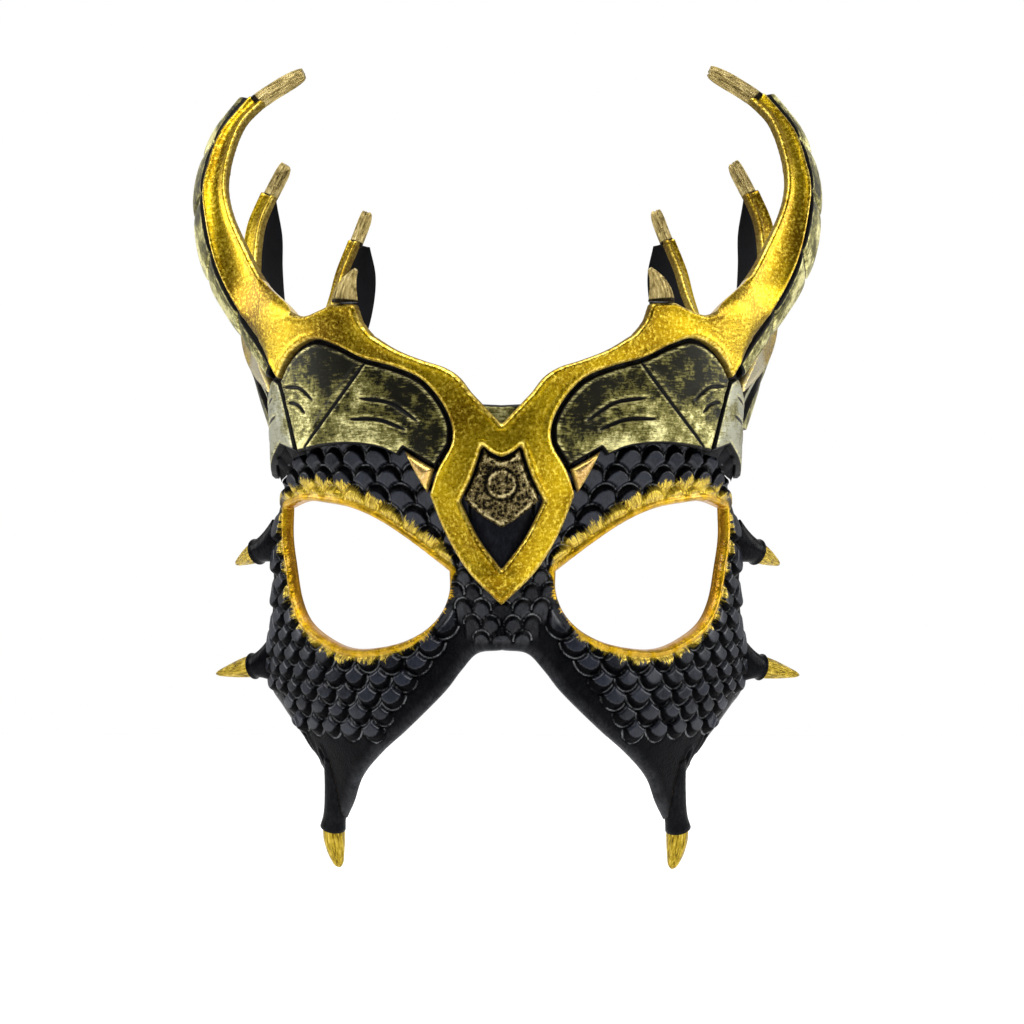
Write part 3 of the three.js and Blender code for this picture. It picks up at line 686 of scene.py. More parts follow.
def stretched(tree, where, scale):
    """A place stretched along its axes."""
    return node(tree, "ShaderNodeVectorMath", {0: where, 1: scale}, operation="MULTIPLY").outputs[0]


def map_value(tree, name):
    """A number kept by paint_map."""
    return node(tree, "ShaderNodeAttribute", attribute_name=name).outputs["Fac"]


def colour(red, green, blue):
    """An opaque colour."""
    return (red, green, blue, 1.0)


def effect(name, inputs, outputs):
    """An empty node group with number inputs and number outputs."""
    group = bpy.data.node_groups.new(name, "ShaderNodeTree")
    for key, value in inputs.items():
        group.interface.new_socket(key, in_out="INPUT", socket_type="NodeSocketFloat").default_value = value
    for key in outputs:
        group.interface.new_socket(key, in_out="OUTPUT", socket_type="NodeSocketFloat")
    enter = group.nodes.new("NodeGroupInput")
    leave = group.nodes.new("NodeGroupOutput")
    return group, enter.outputs, leave.inputs


def place_effect(tree, group, inputs):
    """Places a node group in a material with its own values."""
    return node(tree, "ShaderNodeGroup", inputs, node_tree=group).outputs


def leather_grain():
    """Fine pores and creases of grain leather, as a height."""
    group, given, made = effect("Leather grain", {"Scale": 1500.0, "Creases": 0.5}, ["Height"])
    where = own_place(group)
    pores = node(group, "ShaderNodeTexVoronoi", {"Vector": where, "Scale": given["Scale"]})
    slow = times(group, given["Scale"], 0.12)
    creases = noise(group, where, slow, 6.0, 0.7)
    both = math_node(group, "MULTIPLY_ADD", creases, given["Creases"], pores.outputs["Distance"])
    group.links.new(both, made["Height"])
    return group


def brushed_paint():
    """Where brushed paint has taken: tufts of fine strokes about a limit, in millimetres inside it."""
    taken = {"Inside": 0.0, "Along": 0.0, "Ragged": 5.0}
    group, given, made = effect("Brushed paint", taken, ["Mask", "Strokes"])
    spread = node(group, "ShaderNodeCombineXYZ", {0: given["Along"], 1: given["Inside"], 2: 0.0}).outputs[0]
    strokes = noise(group, stretched(group, spread, (2.4, 0.16, 1)), 1.0, 3.0, 0.7)
    tufts = noise(group, stretched(group, spread, (0.3, 0.1, 1)), 1.0, 2.0, 0.5)
    shift = math_node(group, "SUBTRACT", plus(group, strokes, tufts), 1.0)
    depth = math_node(group, "MULTIPLY_ADD", shift, given["Ragged"], given["Inside"])
    group.links.new(ramp(group, depth, -0.4, 0.5), made["Mask"])
    group.links.new(strokes, made["Strokes"])
    return group


GRAIN = leather_grain()
BRUSHED = brushed_paint()


def finish(name):
    """A new material: its node tree and its surface shader."""
    material = bpy.data.materials.new(name)
    material.use_nodes = True
    tree = material.node_tree
    return material, tree, tree.nodes["Principled BSDF"]


def wire(tree, shader, **sockets):
    """Links or sets the surface shader's sockets; underscores stand for spaces."""
    for key, value in sockets.items():
        feed(tree, shader.inputs[key.replace("_", " ")], value)


def bumped(tree, height, strength, distance):
    """A surface normal bumped by a height."""
    inputs = {"Height": height, "Strength": strength, "Distance": distance}
    return node(tree, "ShaderNodeBump", inputs).outputs[0]


def black_leather():
    """Black leather, lighter on the scales' faces and outer edge as painted sheen, with painted shade in
    the bevels, thin painted highlights on their edges and gold brushed round the eyes.
    """
    material, tree, shader = finish("Black tooled leather")
    hue, gilt, lip = (map_value(tree, key) for key in ("hue", "gilt", "lip"))
    where = own_place(tree)
    cloud = noise(tree, where, 260.0, 6.0, 0.7)
    scuff = noise(tree, stretched(tree, where, (1500, 1500, 500)), 1.0, 4.0, 0.7)
    tone = times(tree, hue, ramp(tree, plus(tree, cloud, scuff), 0.7, 1.4, 0.6, 1.3))
    dye_and_shading = mixed(tree, ramp(tree, tone, 0.02, 1.0), colour(0.0008, 0.0009, 0.0014),
                colour(0.0195, 0.022, 0.033))
    # Painted highlight: thin pale lines along the scales' edges, broken by the cloud
    bright = times(tree, ramp(tree, map_value(tree, "brink"), 0.34, 0.06), ramp(tree, cloud, 0.42, 0.6))
    dye_and_shading = mixed(tree, bright, dye_and_shading, colour(0.17, 0.175, 0.18))
    along = map_value(tree, "along")
    brushed = place_effect(tree, BRUSHED, {"Inside": gilt, "Along": along, "Ragged": 6.5})
    worn = noise(tree, where, 800.0, 5.0, 0.75)
    raised = ramp(tree, plus(tree, hue, times(tree, gilt, 0.1)), 0.0, 0.3, 0.2, 1.0)
    taken = times(tree, ramp(tree, worn, 0.26, 0.4), raised)
    paint = times(tree, brushed["Mask"], taken)
    solid = times(tree, ramp(tree, lip, 2.45, 2.15), ramp(tree, gilt, -0.1, 0.4))
    paint = math_node(tree, "MAXIMUM", paint, solid)
    wisp = mixed(tree, ramp(tree, brushed["Strokes"], 0.36, 0.62), colour(0.25, 0.155, 0.005),
                 colour(0.68, 0.5, 0.06))
    rolled = mixed(tree, ramp(tree, cloud, 0.35, 0.7), colour(0.34, 0.19, 0.004), colour(0.66, 0.4, 0.014))
    gold = mixed(tree, ramp(tree, lip, 1.7, 2.5), rolled, wisp)
    cut = ramp(tree, map_value(tree, "edge"), 0.45, 0.05)
    gold = mixed(tree, times(tree, cut, 0.75), gold, colour(0.36, 0.16, 0.012))
    grain = place_effect(tree, GRAIN, {"Scale": 1700.0, "Creases": 1.2})["Height"]
    wire(tree, shader, Base_Color=mixed(tree, paint, dye_and_shading, gold),
         Metallic=times(tree, paint, 0.85),
         Roughness=ramp(tree, cloud, 0.25, 0.8, 0.28, 0.48),
         Normal=bumped(tree, grain, 0.36, 0.0003), Specular_IOR_Level=0.02,
         Coat_Weight=ramp(tree, tone, 0.03, 0.5, 0.0, 0.45), Coat_Roughness=0.22)
    return material


def flesh_side():
    """The napped inner side of the leather, dyed black."""
    material, tree, shader = finish("Black flesh side")
    where = own_place(tree)
    nap = noise(tree, where, 1400.0, 6.0, 0.8)
    blot = noise(tree, where, 60.0, 4.0)
    tone = times(tree, nap, ramp(tree, blot, 0.3, 0.7, 0.6, 1.3))
    base = mixed(tree, tone, colour(0.0015, 0.0015, 0.002), colour(0.008, 0.0083, 0.01))
    wire(tree, shader, Base_Color=base, Roughness=ramp(tree, nap, 0.2, 0.8, 0.75, 0.95),
         Normal=bumped(tree, nap, 0.6, 0.0004), Specular_IOR_Level=0.1, Sheen_Weight=0.04,
         Sheen_Roughness=0.5)
    return material


BLACK_LEATHER = black_leather()
FLESH_SIDE = flesh_side()
sleeves = [sleeve(points, JAW_SLEEVE if name == "jaw_claw" else CHEEK_SLEEVE, side)
           for name, points in SLEEVES.items() for side in (1, -1)]
for piece in [shell] + sleeves:
    painted(piece, BLACK_LEATHER, FLESH_SIDE)
united(shell, sleeves)
seat(shell, "face_shell", "black_leather", BLACK_LEATHER, FLESH_SIDE)

# Cheek spikes and jaw claws
# Short points rolled from thick leather, carved to a spike, set in the sleeves of the shell and
# painted with the same gold. Fine cuts run along them from root to point.

TUCK_IN = 1.0
SPIKE_SIDES = 72
# Columns: share of the length, width, thickness
CHEEK_TIP = [(0, 7.2, 6.6), (0.35, 5.8, 5.4), (0.75, 3.2, 3), (0.95, 1.5, 1.5), (1, 0.6, 0.6)]
JAW_TIP = [(0, 6.4, 5.6), (0.4, 6, 5.2), (0.8, 4, 3.6), (0.95, 2.4, 2.2), (1, 1, 1)]
# Columns: height, count round the point, twist
CARVED_WAVES = [(1, 9, 3), (0.6, 17, 5), (0.5, 5, 0)]
CARVING = {"depth": 0.05, "fades": 0.5, "waist": 0.12, "waist_length": 0.1}


def mirrored(piece, name):
    """A mirror image of a right hand piece, for the left."""
    twin = piece.copy()
    twin.data = piece.data.copy()
    twin.name = name
    twin.data.name = name
    bpy.context.scene.collection.objects.link(twin)
    work = bmesh.new()
    work.from_mesh(twin.data)
    for point in work.verts:
        point.co.x = -point.co.x
    bmesh.ops.reverse_faces(work, faces=work.faces)
    work.to_mesh(twin.data)
    work.free()
    return twin


def seat_pair(piece, node, slot, *finishes):
    """Seats a right hand piece and its mirror image."""
    twin = mirrored(piece, f"{node}_left_leather")
    seat(piece, f"{node}_right", slot, *finishes)
    seat(twin, f"{node}_left", slot, *finishes)


def map_way(tree, name):
    """A place kept by paint_way."""
    return node(tree, "ShaderNodeAttribute", attribute_name=name).outputs["Vector"]


def knife_cuts(angle, share, waves):
    """Lengthwise cuts round a point."""
    return sum(height * np.sin(count * angle + twist * share) for height, count, twist in waves)


def carved(angle, share):
    """Lengthwise cuts, shallower towards the point, and a waist where the point is set in."""
    cuts = CARVING["depth"] * knife_cuts(angle, share, CARVED_WAVES) * (1 - CARVING["fades"] * share)
    return cuts - CARVING["waist"] * np.exp(-share / CARVING["waist_length"])


def carved_paint(name, dark, middle, light):
    """Paint on a carved point: dark in the cuts, rubbed light on the ridges, and painted black where it is
    set in, as the shade at the join.
    """
    material, tree, shader = finish(name)
    where = own_place(tree)
    cuts = noise(tree, stretched(tree, map_way(tree, "lay"), (0.16, 1.5, 1.5)), 1.0, 6.0, 0.72)
    cloud = noise(tree, where, 300.0, 5.0)
    tone = plus(tree, cuts, times(tree, cloud, 0.35))
    base = mixed(tree, ramp(tree, tone, 0.5, 0.72), dark, middle)
    base = mixed(tree, ramp(tree, tone, 0.66, 0.9), base, light)
    # Painted shade: black where the point is set into its sleeve or into the piece it sits on
    base = mixed(tree, ramp(tree, map_value(tree, "edge"), 0.8, 0.2), base, colour(0.012, 0.008, 0.003))
    wire(tree, shader, Base_Color=base, Metallic=0.85, Roughness=ramp(tree, cloud, 0.25, 0.75, 0.24, 0.42),
         Normal=bumped(tree, tone, 0.7, 0.0009), Specular_IOR_Level=0.2)
    return material


CARVED_GOLD = carved_paint("Carved gold points", colour(0.07, 0.042, 0.003), colour(0.4, 0.275, 0.016),
                           colour(0.85, 0.65, 0.13))
for name, points in SLEEVES.items():
    root, cuff, tip = (np.array(points[key]) for key in ("root", "cuff", "tip"))
    way = unit(cuff - root)
    start = cuff - way * TUCK_IN
    profile = JAW_TIP if name == "jaw_claw" else CHEEK_TIP
    spike = taper(f"{name}_right_leather", start, way + unit(tip - start), tip, profile, sides=SPIKE_SIDES,
                  ripple=carved, buried=TUCK_IN)
    seat_pair(spike, name, "gold_leather", CARVED_GOLD)

# Bridge strap
# A short strap of thin leather in antique bronze paint, which shows behind the notch of the crown.
# It is cut flat, bent over the brow and glued to the top edge of the shell.

BRIDGE_STRAP = [[(0, 66), (7, 66.5)], [(7, 66.5), (8, 61.2)], [(8, 61.2), (0, 59.2)]]
STRAP_LIFT = 0.2


def bronze_paint():
    """Dark bronze, scratched and rubbed bright, black in the cuts, and pale to silver grey where the sheen
    map is high, as a painted reflection.
    """
    material, tree, shader = finish("Antique bronze paint")
    where = own_place(tree)
    edge, line, wear_and_sheen = map_value(tree, "edge"), map_value(tree, "line"), map_value(tree, "wear_and_sheen")
    cloud = noise(tree, where, 95.0, 8.0, 0.74)
    grit = noise(tree, where, 900.0, 5.0, 0.75)
    scratch = noise(tree, stretched(tree, map_way(tree, "lay"), (0.35, 1.6, 1)), 1.0, 7.0, 0.8)
    tone = plus(tree, scratch, times(tree, grit, 0.55))
    both = plus(tree, times(tree, cloud, 1.9), times(tree, wear_and_sheen, 0.6))
    tone = plus(tree, tone, both)
    base = mixed(tree, ramp(tree, tone, 1.76, 2.06), colour(0.008, 0.0078, 0.004),
                 colour(0.16, 0.145, 0.038))
    # Where the map is highest the rubbed colour turns silver grey: a painted reflection on the temples and
    # flanks
    worn = mixed(tree, ramp(tree, wear_and_sheen, 0.7, 0.8), colour(0.84, 0.78, 0.36), colour(0.4, 0.4, 0.3))
    base = mixed(tree, ramp(tree, tone, 2.0, 2.34), base, worn)
    patchy = times(tree, ramp(tree, scratch, 0.44, 0.62), ramp(tree, cloud, 0.36, 0.6))
    near = math_node(tree, "MINIMUM", edge, plus(tree, line, 0.05))
    rubbed = times(tree, ramp(tree, near, 1.7, 1.0), patchy)
    base = mixed(tree, rubbed, base, colour(0.8, 0.72, 0.3))
    black = ramp(tree, near, 0.8, 0.5)
    base = mixed(tree, black, base, colour(0.003, 0.003, 0.003))
    bare = math_node(tree, "SUBTRACT", 1.0, black)
    wire(tree, shader, Base_Color=base, Metallic=times(tree, bare, 0.6),
         Roughness=ramp(tree, scratch, 0.25, 0.75, 0.24, 0.44), Normal=bumped(tree, scratch, 0.45, 0.0003),
         Specular_IOR_Level=0.1)
    return material


BRONZE_PAINT = bronze_paint()
strap = panel("bridge_strap_leather", doubled(BRIDGE_STRAP), [], on_form, STRAP_LIFT, SHELL_THICKNESS)
seat(strap, "bridge_strap", "bronze_leather", BRONZE_PAINT, FLESH_SIDE)

# Crown frame
# One gold painted piece of thick leather: a V over the nose, the brow arms with their spur stubs and
# the dished front faces of the main horns. It is moulded as one and glued over the shell.

FRAME_THICKNESS = 2.8
CROWN_CLEARANCE = 3.4
FOLD_STANDOFF = 4.0
FOLD_REACH = 26
TUCK = {"depth": 6, "turns": (55, 72), "rises": (60, 88)}
TEMPLE_FOLD = smooth_table([(40, 43), (54, 44.5), (76, 50.8), (86, 54.5), (98, 59)])


def on_crown(pattern, lift):
    """Moulds pattern points on the crown, which stands off the shell most along the temple fold."""
    turn, rise = np.abs(pattern[:, 0]) / ARC, pattern[:, 1]
    tent = np.clip(1 - np.abs(turn - TEMPLE_FOLD(rise)[:, 0]) / FOLD_REACH, 0, 1)
    tuck = TUCK["depth"] * eased(turn, *TUCK["turns"]) * (1 - eased(rise, *TUCK["rises"]))
    return on_form(pattern, lift + CROWN_CLEARANCE + FOLD_STANDOFF * tent - tuck)


# Rows: turn, rise
FRAME_EDGE = [
    [(0, 60.7), (5.8, 69.3)],
    [(5.8, 69.3), (8.2, 73.6), (11, 76.2), (15.1, 78.3), (20.6, 81.7), (25.2, 86)],
    [(25.2, 86), (27, 90), (27.6, 94.8)],
    [(27.6, 94.8), (32.6, 95.6)],
    [(32.6, 95.6), (35.5, 94.2), (40, 93), (43.5, 95), (46.5, 99)],
    [(46.5, 99), (52, 96), (54.5, 88)],
    [(54.5, 88), (52.8, 81.5), (50.6, 76)],
    [(50.6, 76), (47.6, 80.5), (43, 84.5), (38, 86.2), (33.3, 83.9), (28.4, 80.2), (21, 76.9), (15.7, 73.3),
     (11.6, 66.8), (9.6, 60.6), (9.6, 55.8), (12.4, 48.6), (14, 42)],
    [(14, 42), (11, 32), (6.6, 21.7), (0, 12.3)],
]
HORN_JOINT = FRAME_EDGE[5]
FRAME_OPENING = [
    [(0, 51.9), (1.8, 53), (3.7, 55.1)],
    [(3.7, 55.1), (5.6, 47), (7.9, 40.2)],
    [(7.9, 40.2), (4.2, 30), (0, 22)],
]
# Columns: x, y, z
HORN_RIDGE = [(69.2, 35, 82), (73.6, 37.5, 88), (80.2, 41.5, 97), (88.3, 46, 112.5), (92.2, 49, 128),
              (93.2, 51, 136.7), (92, 52.5, 144), (88.8, 55, 154.7), (79.8, 57.5, 167)]
HORN_INNER = [(57.5, 23.5, 88), (62, 27.5, 95.5), (71.2, 35, 105), (77.9, 41, 116.6), (83.2, 45.5, 128),
              (85.2, 48.5, 137), (84.4, 50.5, 146.4), (80.6, 53.5, 158), (74.6, 55.8, 164.6)]
HORN_DISH = 1.0
LARGEST_INSET = 0.6
FRONT_WAY = unit((0.35, -1, 0.1))


def strip(name, front, back, thickness, outside, bow=0.0, setback=0.0, relief=None, rows=150, columns=18,
          grown=None, wear_and_sheen=None, reach=None, sunk=0.0):
    """A leather strip between two edge rails, or along the front one as far as it reaches."""
    front, back = smooth_run(front, count=rows), smooth_run(back, count=rows)
    width = np.linalg.norm(back - front, axis=1)
    inset = np.minimum(LARGEST_INSET, setback / width)[:, None]
    limit = np.minimum(1, reach / width)[:, None] if reach else 1.0
    across = inset + (limit - inset) * np.linspace(0, 1, columns + 1)[None, :]
    grid = front[:, None, :] + (back - front)[:, None, :] * across[:, :, None]
    normal = np.cross(np.gradient(grid, axis=0), np.gradient(grid, axis=1))
    normal /= np.linalg.norm(normal, axis=2, keepdims=True)
    normal *= np.where(normal @ outside < 0, -1, 1)[:, :, None]
    share = np.linspace(0, 1, columns + 1)[None, :]
    grid = grid + normal * (bow * np.sin(np.pi * share))[:, :, None]
    span = width[:, None] * (limit - inset)
    length = np.linalg.norm(np.diff(grid.mean(axis=1), axis=0), axis=1).sum()
    along = np.linspace(0, length, rows + 1)[:, None]
    edge = np.minimum(np.minimum(share, 1 - share) * span, np.minimum(along, length - along))
    lift = -sunk - rolled_down(edge)
    line = np.full(edge.shape, FAR)
    if relief:
        raised, line = relief(along / length, share, length, span)
        lift = lift + raised
    top = grid + normal * lift[:, :, None]
    if grown:
        top = grown(top, along / length)
    top = top.reshape(-1, 3)
    under = (grid - normal * (thickness + sunk)).reshape(-1, 3)
    wide, base = columns + 1, (rows + 1) * (columns + 1)
    faces, finishes = [], []
    for i in range(rows):
        for j in range(columns):
            a, b = i * wide + j, (i + 1) * wide + j
            faces += [(a, a + 1, b + 1, b), (a + base, b + base, b + 1 + base, a + 1 + base)]
            finishes += [0, 1]
    loop = list(range(columns)) + [i * wide + columns for i in range(rows)]
    loop += [rows * wide + j for j in range(columns, 0, -1)] + [i * wide for i in range(rows, 0, -1)]
    faces += [(b, a, a + base, b + base) for a, b in zip(loop, loop[1:] + loop[:1])]
    finishes += [0] * len(loop)
    piece = place_mesh(name, np.vstack([top, under]), faces, finishes)
    paint_maps(piece, edge, line, wear_and_sheen(along / length, share) if wear_and_sheen else np.full(edge.shape, HALF_WEAR_AND_SHEEN))
    lay = np.stack([along + 0 * share, share * span, 0 * edge], axis=2).reshape(-1, 3)
    paint_way(piece, "lay", np.vstack([lay, lay]))
    face_out(piece)
    return piece


def gold_paint(name, dark, light, glint):
    """Paint brushed on smooth leather with flecks of painted glint, rubbed bright along its edges, pale
    where the sheen map is high as a painted reflection, and dark on the cut as a painted contact shadow.
    """
    material, tree, shader = finish(name)
    where = own_place(tree)
    edge = map_value(tree, "edge")
    cloud = noise(tree, where, 42.0, 5.0, 0.55)
    flake = noise(tree, where, 1100.0, 4.0, 0.7)
    brush = noise(tree, stretched(tree, where, (260, 500, 1500)), 1.0, 4.0, 0.7)
    grit = plus(tree, flake, brush)
    tone = plus(tree, times(tree, cloud, 0.75), times(tree, brush, 0.25))
    base = mixed(tree, ramp(tree, tone, 0.38, 0.64), dark, light)
    base = mixed(tree, ramp(tree, flake, 0.48, 0.68, 0.0, 0.8), base, glint)
    # Painted reflection: pale where the sheen map is high, at the roots of the wings
    pale = ramp(tree, map_value(tree, "wear_and_sheen"), 0.55, 1.0, 0.0, 0.9)
    base = mixed(tree, pale, base, colour(0.6, 0.54, 0.36))
    patchy = times(tree, ramp(tree, flake, 0.4, 0.6), ramp(tree, cloud, 0.3, 0.6))
    rubbed = times(tree, ramp(tree, edge, 1.2, 0.5), patchy)
    base = mixed(tree, rubbed, base, colour(0.9, 0.68, 0.15))
    # Painted contact shadow: dark brown on the cut edge
    base = mixed(tree, ramp(tree, edge, 0.35, 0.05, 0.0, 0.8), base, colour(0.05, 0.028, 0.003))
    cut = ramp(tree, edge, 0.5, 0.1, 0.0, 0.8)
    dull = math_node(tree, "MAXIMUM", ramp(tree, flake, 0.25, 0.75, 0.24, 0.38), cut)
    wire(tree, shader, Base_Color=base, Metallic=ramp(tree, edge, 0.1, 0.5, 0.0, 0.95), Roughness=dull,
         Normal=bumped(tree, grit, 0.26, 0.0003), Specular_IOR_Level=0.15)
    return material


GOLD_PAINT = gold_paint("Bright gold paint", colour(0.2, 0.108, 0.002), colour(0.48, 0.326, 0.006),
                        colour(0.88, 0.66, 0.07))
# A bead along a cut edge: height, distance from the edge and spread
FRAME_BEAD = (0.3, 1.0, 0.55)
HORN_LIP = (0.5, 1.3, 1.1)
RIDGE_BEAD = (0.3, 1.0, 0.7)
# The point of the V bends back below this rise
VEE_BEND = {"depth": 1.5, "rise": 20, "over": 8, "half": 20}
BEADLESS = (0.5, 2.5)
HORN_BEAD_FROM = 0.3


def bead_along(away, height, place, spread):
    """A raised bead at a distance from an edge."""
    return height * np.exp(-((away - place) / spread) ** 2)


def frame_relief(spots, edge, line):
    """A thin bead along the cut edges, and the point of the V bent back."""
    mirror = np.column_stack([np.abs(spots[:, 0]), spots[:, 1]])
    free = eased(nearest(mirror, smooth_run(laid_out(HORN_JOINT), 0.5))[0], *BEADLESS)
    bead = bead_along(edge, *FRAME_BEAD) * free
    level = rolled_down(edge) * (1 - free)
    bent = VEE_BEND["depth"] * np.clip((VEE_BEND["rise"] - spots[:, 1]) / VEE_BEND["over"], 0, 1)
    bent *= mirror[:, 0] < VEE_BEND["half"]
    return bead + level - bent


def horn_relief(along, share, length, span):
    """A rolled lip along the inner edge of the horn's face and a thin bead along its ridge."""
    raised = bead_along(share * span, *HORN_LIP) + bead_along((1 - share) * span, *RIDGE_BEAD)
    grown = np.clip(along / HORN_BEAD_FROM, 0, 1)
    return raised * grown, np.full(np.broadcast(along, share).shape, FAR)


def places_of(piece):
    """The places of a piece's points, in millimetres."""
    places = np.zeros(len(piece.data.vertices) * 3)
    piece.data.vertices.foreach_get("co", places)
    return places.reshape(-1, 3) / MM


SOFT_PASSES = 4
# How strongly the joint is evened out, and the distance to the cut edge that its paint reads
BLEND_PULL = 0.6
OFF_EDGE = 2.0


def remade(piece, size):
    """Meshes a piece anew in small even faces, keeping its finishes and its edge map."""
    old = piece.data
    values = np.zeros(len(old.vertices))
    old.attributes["edge"].data.foreach_get("value", values)
    corners = [tuple(face.vertices) for face in old.polygons]
    finishes = [face.material_index for face in old.polygons]
    spots = [point.co.copy() for point in old.vertices]
    tree = BVHTree.FromPolygons(spots, corners)
    even = piece.modifiers.new("even", "REMESH")
    even.mode = "VOXEL"
    even.voxel_size = size * MM
    soft = piece.modifiers.new("soft", "SMOOTH")
    soft.factor = 0.5
    soft.iterations = SOFT_PASSES
    settled(piece)
    kept = []
    for point in piece.data.vertices:
        hit, _, face, _ = tree.find_nearest(point.co)
        kept.append(values[list(corners[face])] @ poly_3d_calc([spots[i] for i in corners[face]], hit))
    paint_map(piece, "edge", kept)
    under = [finishes[tree.find_nearest(face.center)[2]] for face in piece.data.polygons]
    piece.data.polygons.foreach_set("material_index", np.array(under, np.int32))


def blended(piece, joint, way, reach, passes):
    """Evens out the faces of a piece near a line of joint points, on both sides of the mask."""
    places = places_of(piece)
    folded = np.abs(places) * (1, 0, 0) + places * (0, 1, 1)
    away = nearest(folded, joint)[0]
    weight = BLEND_PULL * np.clip(2 - 2 * away / reach, 0, 1)
    edges = np.zeros(len(piece.data.edges) * 2, np.int32)
    piece.data.edges.foreach_get("vertices", edges)
    a, b = edges.reshape(-1, 2).T
    count = np.bincount(a, minlength=len(places)) + np.bincount(b, minlength=len(places))
    ways = np.outer(np.sign(places[:, 0]), way * (1, 0, 0)) + way * (0, 1, 1)
    for _ in range(passes):
        near = np.column_stack([
            np.bincount(a, column[b], len(places)) + np.bincount(b, column[a], len(places))
            for column in places.T])
        drift = np.sum((near / count[:, None] - places) * ways, axis=1) * weight
        places = places + ways * drift[:, None]
    piece.data.vertices.foreach_set("co", (places * MM).ravel())
    edge = np.zeros(len(places))
    piece.data.attributes["edge"].data.foreach_get("value", edge)
    edge = np.where(away < reach, np.maximum(edge, OFF_EDGE), edge)
    piece.data.attributes["edge"].data.foreach_set("value", edge.astype(np.float32))
    piece.data.update()


# Shares of the horn's length over which its face leaves the surface of the crown
ROOT_GROWTH = (0.08, 0.36)
# The crown round the root of the horn: first and last turn and rise, with the number of steps
ROOT_TURNS = (36, 72, 37)
ROOT_RISES = (74, 120, 47)
FORWARD = np.array((0.0, -1.0, 0.0))
WELL_CLEAR = 60


def crown_surface():
    """The outer surface of the crown round the root of the horn."""
    turns, rises = np.linspace(*ROOT_TURNS), np.linspace(*ROOT_RISES)
    turn, rise = np.meshgrid(turns, rises)
    spots = np.column_stack([turn.ravel() * ARC, rise.ravel()])
    wide = len(turns)
    faces = [(i * wide + j, i * wide + j + 1, (i + 1) * wide + j + 1, (i + 1) * wide + j)
             for i in range(len(rises) - 1) for j in range(wide - 1)]
    return BVHTree.FromPolygons(on_crown(spots, np.full(len(spots), FRAME_THICKNESS)).tolist(), faces)


def grown_from_crown(top, along):
    """Lets the horn's face grow out of the surface of the crown."""
    surface = crown_surface()
    for row, share in zip(top, 1 - eased(along[:, 0], *ROOT_GROWTH)):
        for j, place in enumerate(row):
            hit = surface.ray_cast(Vector(place + FORWARD * WELL_CLEAR), Vector(-FORWARD))[0]
            if hit and share > 0:
                row[j] = place + (np.array(hit) - place) * share
    return top


JOINT_WAY = unit((0.75, -0.65, 0.1))
JOINT_REACH = 9.0
JOINT_PASSES = 160
CROWN_FACES = 0.43
crown = panel("crown_frame_leather", doubled(FRAME_EDGE), [doubled(FRAME_OPENING)], on_crown, 0,
              FRAME_THICKNESS, frame_relief)
horn_face = strip("horn_face", HORN_INNER, HORN_RIDGE, FRAME_THICKNESS, FRONT_WAY, -HORN_DISH,
                  relief=horn_relief, grown=grown_from_crown)
for piece in (crown, horn_face):
    painted(piece, GOLD_PAINT, FLESH_SIDE)
united(crown, [horn_face, mirrored(horn_face, "horn_face_left")])
joint = smooth_run(laid_out(HORN_JOINT), 1.0)
joint = on_crown(joint, np.full(len(joint), FRAME_THICKNESS / 2))
remade(crown, CROWN_FACES)
blended(crown, joint, JOINT_WAY, JOINT_REACH, JOINT_PASSES)
seat(crown, "crown_frame", "gold_leather", GOLD_PAINT, FLESH_SIDE)

# Medallion
# A small leather shield in dark bronze paint, glued to the shell in the opening of the V. A ring is
# raised on it and its ground is stippled with a pointed tool.

SEAM = 0.45
PLATE_THICKNESS = 2.2
SHIELD_EDGE = [
    [(0, 50.9), (1.8, 52), (3.4, 54)],
    [(3.4, 54), (5, 47), (7.2, 40.6)],
    [(7.2, 40.6), (4, 36.6), (0, 33)],
]
RING_RISE = 44.7
RING_RADIUS = 3.3
RING_WIRE = 0.42
STIPPLE_SPACING = 0.3
# Full height, place and spread of the ditch outside the ring, of a dent and of the border
RING_DITCH = (1, 0.95, 0.4)
STIPPLE_DENT = (1, 0, 0.36)
SHIELD_BORDER = (1, 0.9, 0.35)
# Heights of the ring, the border and the ditch outside the ring, and the depth of the dents
SHIELD_RELIEF = {"ring": 0.6, "ditch": 0.3, "dent": 0.35, "bead": 0.3}
# How bright each is rubbed, over the shade of the ground
SHIELD_RUB = {"ring": 0.5, "bead": 0.35, "ground": 0.62, "dent": 0.8, "ditch": 0.5}
shield_maps = {}
dice = np.random.default_rng(11)
STIPPLE = dice.uniform((-12, 30), (12, 56), (620, 2))


def medallion_relief(spots, edge, line):
    """A low ring and a thin border on a ground stippled with a pointed tool."""
    away = np.hypot(spots[:, 0], spots[:, 1] - RING_RISE)
    band = np.sqrt(np.clip(1 - ((away - RING_RADIUS) / RING_WIRE) ** 2, 0, 1))
    ditch = bead_along(away - RING_RADIUS, *RING_DITCH)
    dent = bead_along(nearest(spots, STIPPLE)[0], *STIPPLE_DENT)
    bead = bead_along(edge, *SHIELD_BORDER)
    raised = SHIELD_RUB["ring"] * band + SHIELD_RUB["bead"] * bead + SHIELD_RUB["ground"]
    high = raised - SHIELD_RUB["dent"] * dent - SHIELD_RUB["ditch"] * ditch
    shield_maps["high"] = np.clip(high, 0, 1)
    low = SHIELD_RELIEF["ring"] * band - SHIELD_RELIEF["ditch"] * ditch - SHIELD_RELIEF["dent"] * dent
    return low + SHIELD_RELIEF["bead"] * bead


